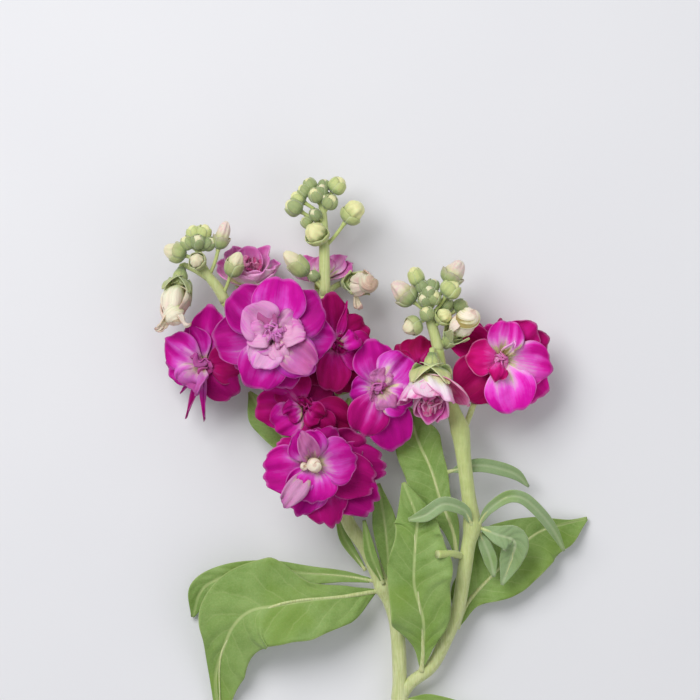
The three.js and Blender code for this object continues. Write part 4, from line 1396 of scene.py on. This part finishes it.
# The stump of a leaf stalk that was trimmed off the right branch.
LEAF_STUMP = [(28.4, -11.4, 15.0, 1.1), (25.6, -10.6, 19.4, 1.1), (20.6, -10.7, 23.0, 1.35)]
LEFT_TIP = [
    (-46.9, 69.8, 17.5, 1.75), (-49.4, 74.2, 17.8, 1.7), (-52.1, 77.6, 18, 1.5), (-54.6, 82, 18.2, 1.2),
    (-55.6, 87, 18.4, 0.9), (-55.8, 90, 18.5, 0.6),
]
MIDDLE_TIP = [
    (-15.2, 71.7, 15.4, 1.75), (-15.4, 82, 15.8, 1.75), (-15.5, 88, 16, 1.7), (-15.9, 97, 16.4, 1.4),
    (-16.2, 102, 16.6, 1), (-16.3, 105, 16.8, 0.6),
]
RIGHT_TIP = [
    (21, 54.1, 20.6, 1.75), (19.8, 59, 20.9, 1.7), (18.3, 64.6, 21.2, 1.6), (17.8, 69, 21.6, 1.3),
    (17.6, 73, 22, 0.8),
]
LEFT_BUDS = [
    (-55.4, 87, 18.4, -57.8, 94.2, 18.6, 5, 2.3, Look.LIME),
    (-55.6, 87, 18.4, -53, 94.4, 20, 5, 2.2, Look.LIME),
    (-54.6, 82.5, 18.2, -66.4, 87, 18.5, 7.2, 3, Look.CREAM),
    (-55.4, 85, 18.4, -60.6, 90.2, 20.8, 4.6, 2, Look.GREEN),
    (-55.5, 86, 18.4, -55.8, 90.6, 23.4, 4.6, 2, Look.DARK),
    (-55.4, 86, 18.3, -50.6, 89.6, 21, 4.6, 2, Look.DARK),
    (-54.4, 81.8, 18.2, -57, 83.6, 24, 5.4, 2.5, Look.CREAM),
    (-52, 78.5, 18, -46.6, 95, 20.6, 8.8, 2.4, Look.PINK),
    (-48, 71.6, 17.7, -42.4, 85.3, 23.2, 8.4, 2.7, Look.CREAM),
]
MIDDLE_BUDS = [
    (-16, 99, 16.5, -21, 109.2, 17, 4.6, 1.9, Look.GREEN),
    (-16, 100, 16.5, -23.4, 106.8, 17.8, 4.4, 1.9, Look.GREEN),
    (-16, 100, 16.5, -19.2, 105.6, 21, 4.8, 2.1, Look.GREEN),
    (-16.2, 101, 16.6, -16.2, 107.2, 19.8, 4, 1.6, Look.DARK),
    (-16.2, 102, 16.6, -15.3, 109, 16.6, 4, 1.7, Look.DARK),
    (-16, 101, 16.5, -9.4, 109.2, 17.4, 5.8, 2.6, Look.LIME),
    (-16, 98, 16.4, -12.4, 103.4, 20.6, 4.8, 2.3, Look.GREEN),
    (-15.8, 97, 16.4, -25.8, 104.4, 16.6, 5, 2.3, Look.LIME),
    (-15.8, 94, 16.2, -27.6, 101.6, 18.6, 5.8, 2.6, Look.GREEN),
    (-15.8, 95, 16.3, -19.4, 98.8, 20.6, 4, 1.7, Look.DARK),
    (-15.7, 91, 16.1, -22.6, 96.4, 17.6, 3.8, 1.6, Look.GREEN),
    (-15.5, 86.6, 16, -19.4, 94.4, 21.4, 7.4, 3.5, Look.YELLOW),
    (-15.5, 87, 16, -3.8, 101.4, 19.4, 8, 3.3, Look.YELLOW),
    (-15.4, 74.5, 15.5, -20.2, 79.4, 17.4, 3.8, 1.6, Look.DARK),
    (-15.4, 73, 15.5, -28, 85.6, 18.6, 10.2, 2.9, Look.CREAM),
]
RIGHT_BUDS = [
    (17.8, 68, 21.6, 12.6, 80.8, 21.6, 6.2, 2.2, Look.LIME),
    (18.2, 65, 21.3, 6.6, 75.6, 20.8, 9, 3.4, Look.PINK),
    (17.7, 71, 21.8, 15, 76.6, 22.6, 4.2, 1.9, Look.DARK),
    (17.7, 71, 21.8, 19.8, 77, 22, 4.2, 1.9, Look.DARK),
    (17.8, 69, 21.7, 15.6, 71.6, 25.4, 4.4, 2, Look.DARK),
    (17.8, 69, 21.7, 20.6, 72.6, 25, 4.4, 2.1, Look.GREEN),
    (17.8, 69, 21.6, 18, 74.6, 25, 4.4, 2, Look.DARK),
    (18, 67, 21.4, 28.2, 82.4, 21.6, 8.2, 3.3, Look.PINK),
    (18.2, 65, 21.3, 26.8, 76.4, 23.6, 6.2, 2.9, Look.LIME),
    (19, 61.5, 21, 24.2, 66.8, 25, 5.2, 2.5, Look.YELLOW),
    (18.2, 65, 21.3, 10, 60.6, 24, 6.2, 2.9, Look.CREAM),
    (18.8, 62, 21.1, 16.6, 67.8, 25.6, 4.6, 2.1, Look.GREEN),
    (18.6, 63, 21.1, 25, 70.6, 18.6, 5, 2, Look.GREEN),
    (19, 61.5, 20.9, 30, 69.8, 17.6, 5, 2.1, Look.GREEN),
]
SPRAYS = [
    BudSpray("buds_left", LEFT_TIP, LEFT_BUDS, (-55.6, 86.6, 18.8), 9),
    BudSpray("buds_middle", MIDDLE_TIP, MIDDLE_BUDS, (-16.2, 102, 17), 12),
    BudSpray("buds_right", RIGHT_TIP, RIGHT_BUDS, (17.8, 71, 22.4), 14),
]
FLOWERS = [
    Flower("flower_front", Kind.MAGENTA, (-31, 59.2, 28.5), (0, 0, 1), (-21.6, 53, 16.2), [
        (134, 19.4, 15.5, 5.5), (83, 18.6, 16, 7.2), (40, 18.6, 15.5, 5.2), (-3, 18.9, 15.5, 3.5),
        (-46, 16.9, 13, 6), (-78, 17.7, 13, 3), (-112, 18.6, 15, 5.5), (186, 20, 15.5, 3),
        (130, 11, 7.5, 8), (232, 10.5, 8, 7.6), (50, 9.5, 7, 8), (5, 9.5, 6.5, 10.4),
        (300, 9, 6.5, 8.4), (180, 9.5, 6, 10.4)], arch=3, pleat=0.24,
        tones=(0.1, 0.4, 0.1, 0.5, 0.5, 0.1, 0.5, 0.3),
        flaps=[(137, 12.5, 13, 10.8, 0.35, 0.8), (318, 16.5, 11, 9.4, 0.2, 0.4), (240, 12, 11, 10.2, 0.1, 1.0)],
        heart=Heart(18, 8.0, 11.2, 6.5, 1.6, crumple=1.2)),
    Flower("flower_low", Kind.MAGENTA, (-18.7, 18.2, 25), (0.05, -0.05, 1), (-11, 14, 12.8), [
        (190, 16.6, 15, 5.5), (112, 12, 12, 8), (12, 13.2, 14.5, 8), (266, 12, 14, 8),
        (250, 16.5, 14, 3.5), (286, 20.5, 14, 2), (324, 24, 15, 1), (342, 20.5, 14, 3.5),
        (358, 23, 14, -1), (228, 12, 8, 7), (148, 13, 11.5, 2.6), (60, 13, 12.5, 4)], arch=3,
        tones=(0.1, 0.2, 0.4, 0.1, 0.4, -0.2, -0.45, -0.5, -0.6, 0.5, 0, -0.3), scallop=0.05,
        flaps=[(231, 16.5, 6.5, 11.0, 0.2, 0.9), (112, 11.5, 6, 11, 0.9, 0.5), (28, 18, 12, 0.6, 0.1, -0.8)],
        knobs=[(-0.3, 0.3, 9.4, 2.3, 1, 0.9), (-3.4, -0.2, 8.4, 1.3, 1, 0.9)], heart=Heart(0, 0, 0, 0, 0.9)),
    Flower("flower_left", Kind.MAGENTA, (-52.6, 50.6, 12), (-0.35, -0.2, 0.9), (-35.4, 60.8, 16.6), [
        (148, 14.5, 12, 5), (193, 13.5, 11, 2.4), (225, 9, 7, 7), (266, 8, 7, 9.6),
        (250, 19.3, 3, 2.5), (271, 18.4, 3.2, 4), (229, 14.6, 2.6, 0.4), (-41, 14.5, 12, 3),
        (6, 13, 12, 4), (84, 19, 11, 1.4), (117, 13, 11.5, 2.6), (48, 15.5, 12, 0), (165, 10, 9, -9.7, 11, 1)],
        tones=(0.3, 0.5, 0.5, 0.3, 0, 0.1, 0.2, -0.7, -0.9, -0.2, 0.2, -0.6, -0.4),
        heart=Heart(7, 4.5, 8.0, 5.0, 0.3)),
    Flower("flower_upper_right", Kind.SHADED, (-13.6, 56, 19.5), (0.4, 0, 0.92), (-14.4, 52, 15), [
        (97, 16.6, 11, 3), (76, 14, 4, 5.4), (35, 13, 11, 3.6), (-14, 13, 12, 5),
        (-70, 16.5, 13, 2.4), (-98, 15, 11, 4.4), (238, 15, 11, 0.4), (20, 7, 5, 8.5)],
        tones=(-0.1, 0.2, -0.1, 0, -0.4, -0.2, -0.6, 0.5), heart=Heart(7, 4.5, 7.5, 5.0, 0.0, swell=1.2)),
    Flower("flower_centre", Kind.SHADED, (-21.6, 36.8, 19), (0, -0.1, 1), (-13.4, 33, 14.5), [
        (182, 16, 12.5, 3.5), (215, 12, 11, 5), (-22, 16, 12.5, 3), (-57, 13, 12, 5),
        (255, 12, 10, 1.2), (124, 12.4, 12, 3.8), (58, 12, 10.5, 0.2), (330, 7, 6, 7), (200, 7, 6, 7)], arch=2,
        tones=(0.2, 0.4, -0.5, -0.4, 0, -0.2, -0.6, -0.2, 0.3), heart=Heart(7, 4.5, 7.0, 5.5, 0.0)),
    Flower("flower_beside_stem", Kind.MAGENTA, (1.1, 42.6, 18.5), (0.2, -0.1, 0.97), (-13.9, 40, 14.8), [
        (99, 15.6, 13, 2.6), (48, 14, 13, 5.2), (-34, 11.5, 10.5, 5.5), (-73, 21, 14, 2.5),
        (247, 16, 13, 4.5), (192, 8.8, 10, 1.6), (80, 7, 6, 7), (300, 7, 6, 7)],
        tones=(0.1, 0.4, 0.5, -0.1, -0.2, 0.3, 0.3, 0.3), heart=Heart(9, 5.5, 8.0, 5.5, 0.75)),
    Flower("flower_right", Kind.HOT, (40.2, 52.2, 13.5), (0.15, -0.1, 0.98), (28.4, 27, 19.4), [
        (80, 12.5, 11, 6), (43, 15.5, 12.5, 3.8), (20, 17, 12, 1.6), (-11, 16.6, 14, 5.4),
        (-42, 19, 14, 3), (-75, 18, 15.5, 6.4), (175, 11.5, 11, 6), (222, 18, 16, 1.5),
        (151, 18.5, 11, 0.4), (124, 20.5, 3.4, -1), (59, 7, 5, 9), (250, 7, 6, 8), (60, 10, 9, -14, 11, 1)],
        tones=(0.6, -0.3, -0.2, 0.5, 0.2, 0.4, -0.4, -0.7, -0.8, -0.5, 0.9, -0.4, -0.6),
        heart=Heart(6, 3.4, 8.6, 4.0, 0.9, swell=1.0)),
    Flower("flower_behind_branch", Kind.SHADED, (15.2, 47.4, 10), (-0.2, 0.4, 0.9), (23, 43, 20.2), [
        (125, 11, 12, 2.6), (82, 10, 11, 5), (172, 8, 8, 5), (40, 8, 9, 2.6), (215, 7, 8, 2.6)],
        tones=(-0.35, -0.4, -0.35, -0.3, -0.35), heart=Heart(5, 4.0, 6.5, 4.5, 0.0, tone=-0.4)),
    Flower("flower_half_open", Kind.PALE, (18.6, 46.8, 28.5), (-0.05, -0.95, 0.26), (22.4, 46.5, 20.3), [
        (-4, 12.6, 10, 9.5), (38, 9, 10.5, 10.5), (90, 8.4, 12, 9.6), (141, 9, 10.5, 10.5), (183, 10, 10, 10.5),
        (228, 5.5, 8.8, 13.5), (270, 4, 8.8, 15), (314, 5.5, 8.8, 14.5)], arch=0, knee=(0.85, 0.35), cup=0.2,
        sepals=(7.4, 4.4, 8.8), heart=Heart(11, 5.5, 14.4, 7.0, 0.0, tone=-0.2), wrap=0.5, pleat=0.36,
        tones=(-0.1, 0.5, 0.5, 0.5, 0.4, 0.3, 0.3, 0.3)),
    Flower("flower_top_left", Kind.LIGHT, (-39.5, 75.5, 9), (0, 0.86, 0.5), (-44.5, 67.5, 17.4), [
        (180, 10.4, 9.5, 7.5), (145, 7.5, 8.8, 11), (0, 9.8, 9.5, 7), (35, 7.5, 8.8, 11), (270, 6.5, 9.5, 8.5),
        (90, 4.5, 8.8, 11.5), (225, 8, 10, 8.5), (315, 8.4, 10, 8.5)], arch=0, knee=(0.85, 0.4), cup=0.25,
        sepals=(5.6, 2, 4), heart=Heart(9, 4.2, 11.0, 5.0, 0.0, tone=-0.8), wrap=0.45,
        tones=(0.6, 0.6, 0.6, 0.6, 0.8, 0.2, 0.8, 0.8)),
    Flower("flower_top_middle", Kind.LIGHT, (-16.2, 74.5, 5.5), (0, 0.9, 0.43), (-15, 66, 15.3), [
        (180, 10.2, 11, 6.5), (150, 8, 10, 9), (0, 10, 9, 8), (28, 8, 9, 9.5), (90, 5, 8, 9)],
        arch=0, knee=(0.6, 0.5), cup=0.2, heart=Heart(5, 4.0, 8.0, 5.0, 0.1), tones=(0.5, 0.5, 0.4, 0.5, 0.6)),
    Flower("opening_bud_left", Kind.CREAM, (-62, 74.6, 17), (-0.15, -0.85, 0.5), (-52.3, 77.6, 18), [
        (0, 4.4, 8.5, 11), (92, 3.6, 9, 11.5), (180, 4.4, 8.5, 11), (272, 3.4, 8.5, 13.5), (225, 6.4, 5, 13)],
        arch=0, knee=(1.75, 0.4), cup=0.5, ruffle=0.3, bearer="buds_left", sepals=(5.6, 4, 4.5),
        knobs=[(0.3, 0, 10.4, 3.3, 1, 0.4)],
        flaps=[(205, 5.8, 5, 15.2, 0.4, 0.5), (10, 6.4, 5, 13.6, 0.4, 0.5)],
        heart=Heart(3, 3.6, 10.5, 7.0, 0.3, closed=True), wrap=0.7, tones=(-0.2, 0.5, 0.4, 0.2, 0.1)),
    Flower("opening_bud_middle", Kind.CREAM, (-5.6, 75.8, 14.5), (0.55, 0, 0.83), (-15.2, 72.6, 15.4), [
        (20, 3.8, 7.8, 8), (110, 3, 7.6, 8.8), (200, 3.8, 7.8, 8), (290, 3, 7.6, 8.8), (268, 7, 4, 4.6)],
        arch=0, knee=(1.6, 0.4), cup=0.5, ruffle=0.2, bearer="buds_middle", sepals=(4.6, 3, 4),
        knobs=[(0, 0, 7.4, 2.9, 0.7, -0.4)],
        heart=Heart(3, 3.2, 7.2, 6.0, 0.4, closed=True), wrap=0.7),
    Flower("opening_bud_right", Kind.CREAM, (26.4, 59.8, 22), (0.5, 0.6, 0.62), (20.4, 56.8, 20.8), [
        (0, 4, 7.5, 8.6), (90, 3, 7.5, 9.6), (180, 4, 7.5, 8.6), (270, 3, 7.5, 9.6)],
        arch=0, knee=(1.5, 0.4), cup=0.5, ruffle=0.2, bearer="buds_right", sepals=(4.2, 3, 4),
        knobs=[(0, 0, 7.6, 3.5, 1, 1.3)],
        heart=Heart(3, 3.0, 7.0, 6.0, 0.6, closed=True, tone=0.9), wrap=0.7, tones=(0.9, 0.9, 0.9, 0.6)),
]
LEAVES = [
    Leaf("leaf_lower_left", 1.1, 0.1, LeafAge.GROWN, [
        (0.6, -23, 9, 0.9, 0.9), (-7.8, -24.3, 11.5, 8.6, 3.2), (-19, -25.3, 14.5, 12.4, 5.4),
        (-30.2, -27.2, 16, 12.2, 15.2), (-39.2, -29.1, 15.5, 13, 15), (-44.3, -33.6, 13.5, 12.5, 12.4),
        (-47.7, -41, 10, 9.5, 7), (-50.4, -49.9, 6, 9.5, 2), (-49.8, -58.6, 3, 4.8, 1.2),
        (-47.5, -69.8, 1.2, 0.5, 0.5)]),
    Leaf("leaf_lower_left_behind", 0.5, 0.1, LeafAge.GROWN, [
        (-0.9, -19.4, 8.6, 0.8, 0.8), (-8.8, -18, 9, 2, 1.6), (-20, -17.2, 9, 3.5, 2.4),
        (-32.8, -16, 8, 4.5, 3), (-46.4, -17.8, 6, 5, 3.6), (-54.6, -22.4, 4, 4.5, 4),
        (-57.8, -31.4, 2, 0.5, 0.5)]),
    Leaf("leaf_centre", 1, 0.14, LeafAge.GROWN, [
        (15.8, -47, 9, 0.8, 0.8), (16.2, -41, 12, 2.9, 3.2), (16.2, -32, 16, 9.9, 8.6),
        (13.3, -20.8, 19, 8.6, 12.2), (13.3, -12.5, 20.5, 8, 11.8), (13.9, -4.2, 21, 6.7, 8.6),
        (14.2, 0.3, 21, 7.3, 5.8), (9.8, 12.2, 20, 0.5, 0.5)]),
    Leaf("leaf_upper", 0.8, 0.1, LeafAge.GROWN, [
        (26.8, -10.6, 14, 0.7, 0.7), (25.1, -0.6, 14, 4, 2.5), (21.9, 5.8, 14, 7, 3.5),
        (19, 15.7, 13, 9, 5), (14.6, 25.3, 12, 7.5, 7), (11.5, 36, 10, 0.5, 0.5)]),
    Leaf("leaf_right", 1, 0.1, LeafAge.GROWN, [
        (27.7, -33.4, 7.6, 0.8, 0.8), (31.5, -25, 6.4, 7, 4), (38.2, -18.2, 6.4, 10, 9.3),
        (45.6, -10.9, 6, 12.5, 11), (53, -4.2, 5, 5.5, 10), (61.9, -1.3, 3.5, 1.3, 7.5),
        (69, 0.3, 1.5, 0.5, 0.5)]),
    Leaf("leaf_small_left", 0.3, 0.3, LeafAge.YOUNG, [
        (31.2, -0.4, 18.9, 0.7, 0.7), (29.3, 3.2, 21.5, 1.8, 1.8), (22.6, 5.4, 24.5, 2.3, 2.3),
        (16.8, 1.9, 24.8, 2.2, 2.2), (11.4, 0.3, 24, 0.5, 0.5)]),
    Leaf("leaf_small_right", 0.3, 0.3, LeafAge.YOUNG, [
        (34.4, -0.6, 17.4, 0.7, 0.7), (37.3, 3.8, 21, 1.6, 1.6), (43.4, 7.7, 23, 2, 2),
        (47.5, 7.4, 23, 2, 2), (53, 2.9, 20, 1.9, 1.9), (57.8, -3.2, 15, 1.6, 1.6),
        (61.4, -9.9, 10, 0.4, 0.4)]),
    Leaf("leaf_small_folded", 0.4, 0.2, LeafAge.YOUNG, [
        (34.9, -2.6, 16, 0.7, 0.7), (39.8, -4.5, 18, 3, 3), (45.3, -6.7, 17, 4.5, 4.5),
        (44, -13.4, 13.5, 3.5, 3.5), (41.4, -20.8, 12, 0.5, 0.5)]),
    Leaf("leaf_small_low", 0.3, 0.2, LeafAge.YOUNG, [
        (34.4, -4.6, 13.6, 0.7, 0.7), (35.7, -7.4, 14, 2, 2), (37.6, -12.2, 13, 2.2, 2.2),
        (38.9, -18.2, 11.5, 0.5, 0.5)]),
    Leaf("leaf_behind_branch", 0.3, 0.2, LeafAge.YOUNG, [
        (25.6, 15.8, 14.6, 0.6, 0.6), (28.9, 16.7, 15, 1.8, 1.8), (34.1, 17.6, 14.6, 2.2, 2.2),
        (41.4, 16.3, 12, 2.2, 2.2), (46.2, 14.4, 10, 1.8, 1.8), (50.1, 10.6, 7, 0.4, 0.4)]),
    Leaf("leaf_flower_side", 0.6, 0.15, LeafAge.GROWN, [
        (-12.3, 3.4, 10.4, 0.8, 0.8), (-23.2, 20.8, 10, 4, 4), (-34.4, 32.6, 9, 5, 5),
        (-39.5, 41, 6, 0.5, 0.5)]),
    Leaf("leaf_node_tall", 0.6, 0.15, LeafAge.GROWN, [
        (5.6, -18.5, 10.4, 0.8, 0.8), (5, -12.8, 12.5, 2.5, 2.5), (4, -1.6, 15, 4, 3.8),
        (1.8, 11.8, 17, 0.6, 0.6)]),
    Leaf("leaf_node_front", 0.2, 0.3, LeafAge.GROWN, [
        (3, -19.2, 11.7, 0.7, 0.7), (-0.5, -11.2, 15, 1.9, 1.9), (-2.7, 0, 17.5, 0.5, 0.5)]),
    Leaf("leaf_node_back", 0.2, 0.3, LeafAge.GROWN, [
        (-3.1, -15, 7.6, 0.6, 0.6), (-8.8, -6.4, 7.4, 1.6, 1.6), (-11.5, 1, 7, 0.4, 0.4)]),
    Leaf("leaf_among_flowers", 0.2, 0.3, LeafAge.GROWN, [
        (-9.5, 25.4, 14.6, 0.7, 0.7), (-9, 33.6, 16.2, 2, 2), (-7.4, 39, 16.4, 0.5, 0.5)]),
    Leaf("leaf_bottom_right", 0.3, 0.2, LeafAge.GROWN, [
        (11.6, -58, 5.4, 0.8, 0.8), (18.4, -58.5, 6, 2.6, 2.6), (31.2, -62.4, 5, 2.6, 2.6),
        (39.8, -68.8, 2.5, 0.5, 0.5)]),
]


@dataclass
class Phases:
    """The CAD's own run of repeatable numbers, so that the ruffles and waves fall alike."""

    state: int

    def next(self) -> float:
        """The next phase in radians."""
        self.state = (self.state * 1664525 + 1013904223) % 2 ** 32
        return self.state / 2 ** 32 * 2 * math.pi


def borne_by(bearer: str) -> list[Flower]:
    """The flowers that the stem or a spray bears."""
    return [flower for flower in FLOWERS if flower.bearer == bearer]


def main() -> None:
    """Builds the pieces in order: stem and cups, buds, flowers, leaves, then the table and lights."""
    draw = random.Random(SEED)
    phases = Phases(SEED)
    for flower in FLOWERS:
        flower.phases = [phases.next() for _ in flower.rows]
    for leaf in LEAVES:
        leaf.phase = phases.next()
    StemAndCups(MAIN_STEM, [RIGHT_BRANCH, LEFT_BRANCH], KNOTS, LEAF_STUMP).build(borne_by("stem"), draw)
    for spray in SPRAYS:
        spray.build(borne_by(spray.name), draw)
    for part in [*FLOWERS, *LEAVES]:
        part.build(draw)
    Studio().build()
    boxes = [[list(corner) for corner in box] for box in (CAD_BOX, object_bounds())]


if __name__ == "__main__":
    main()
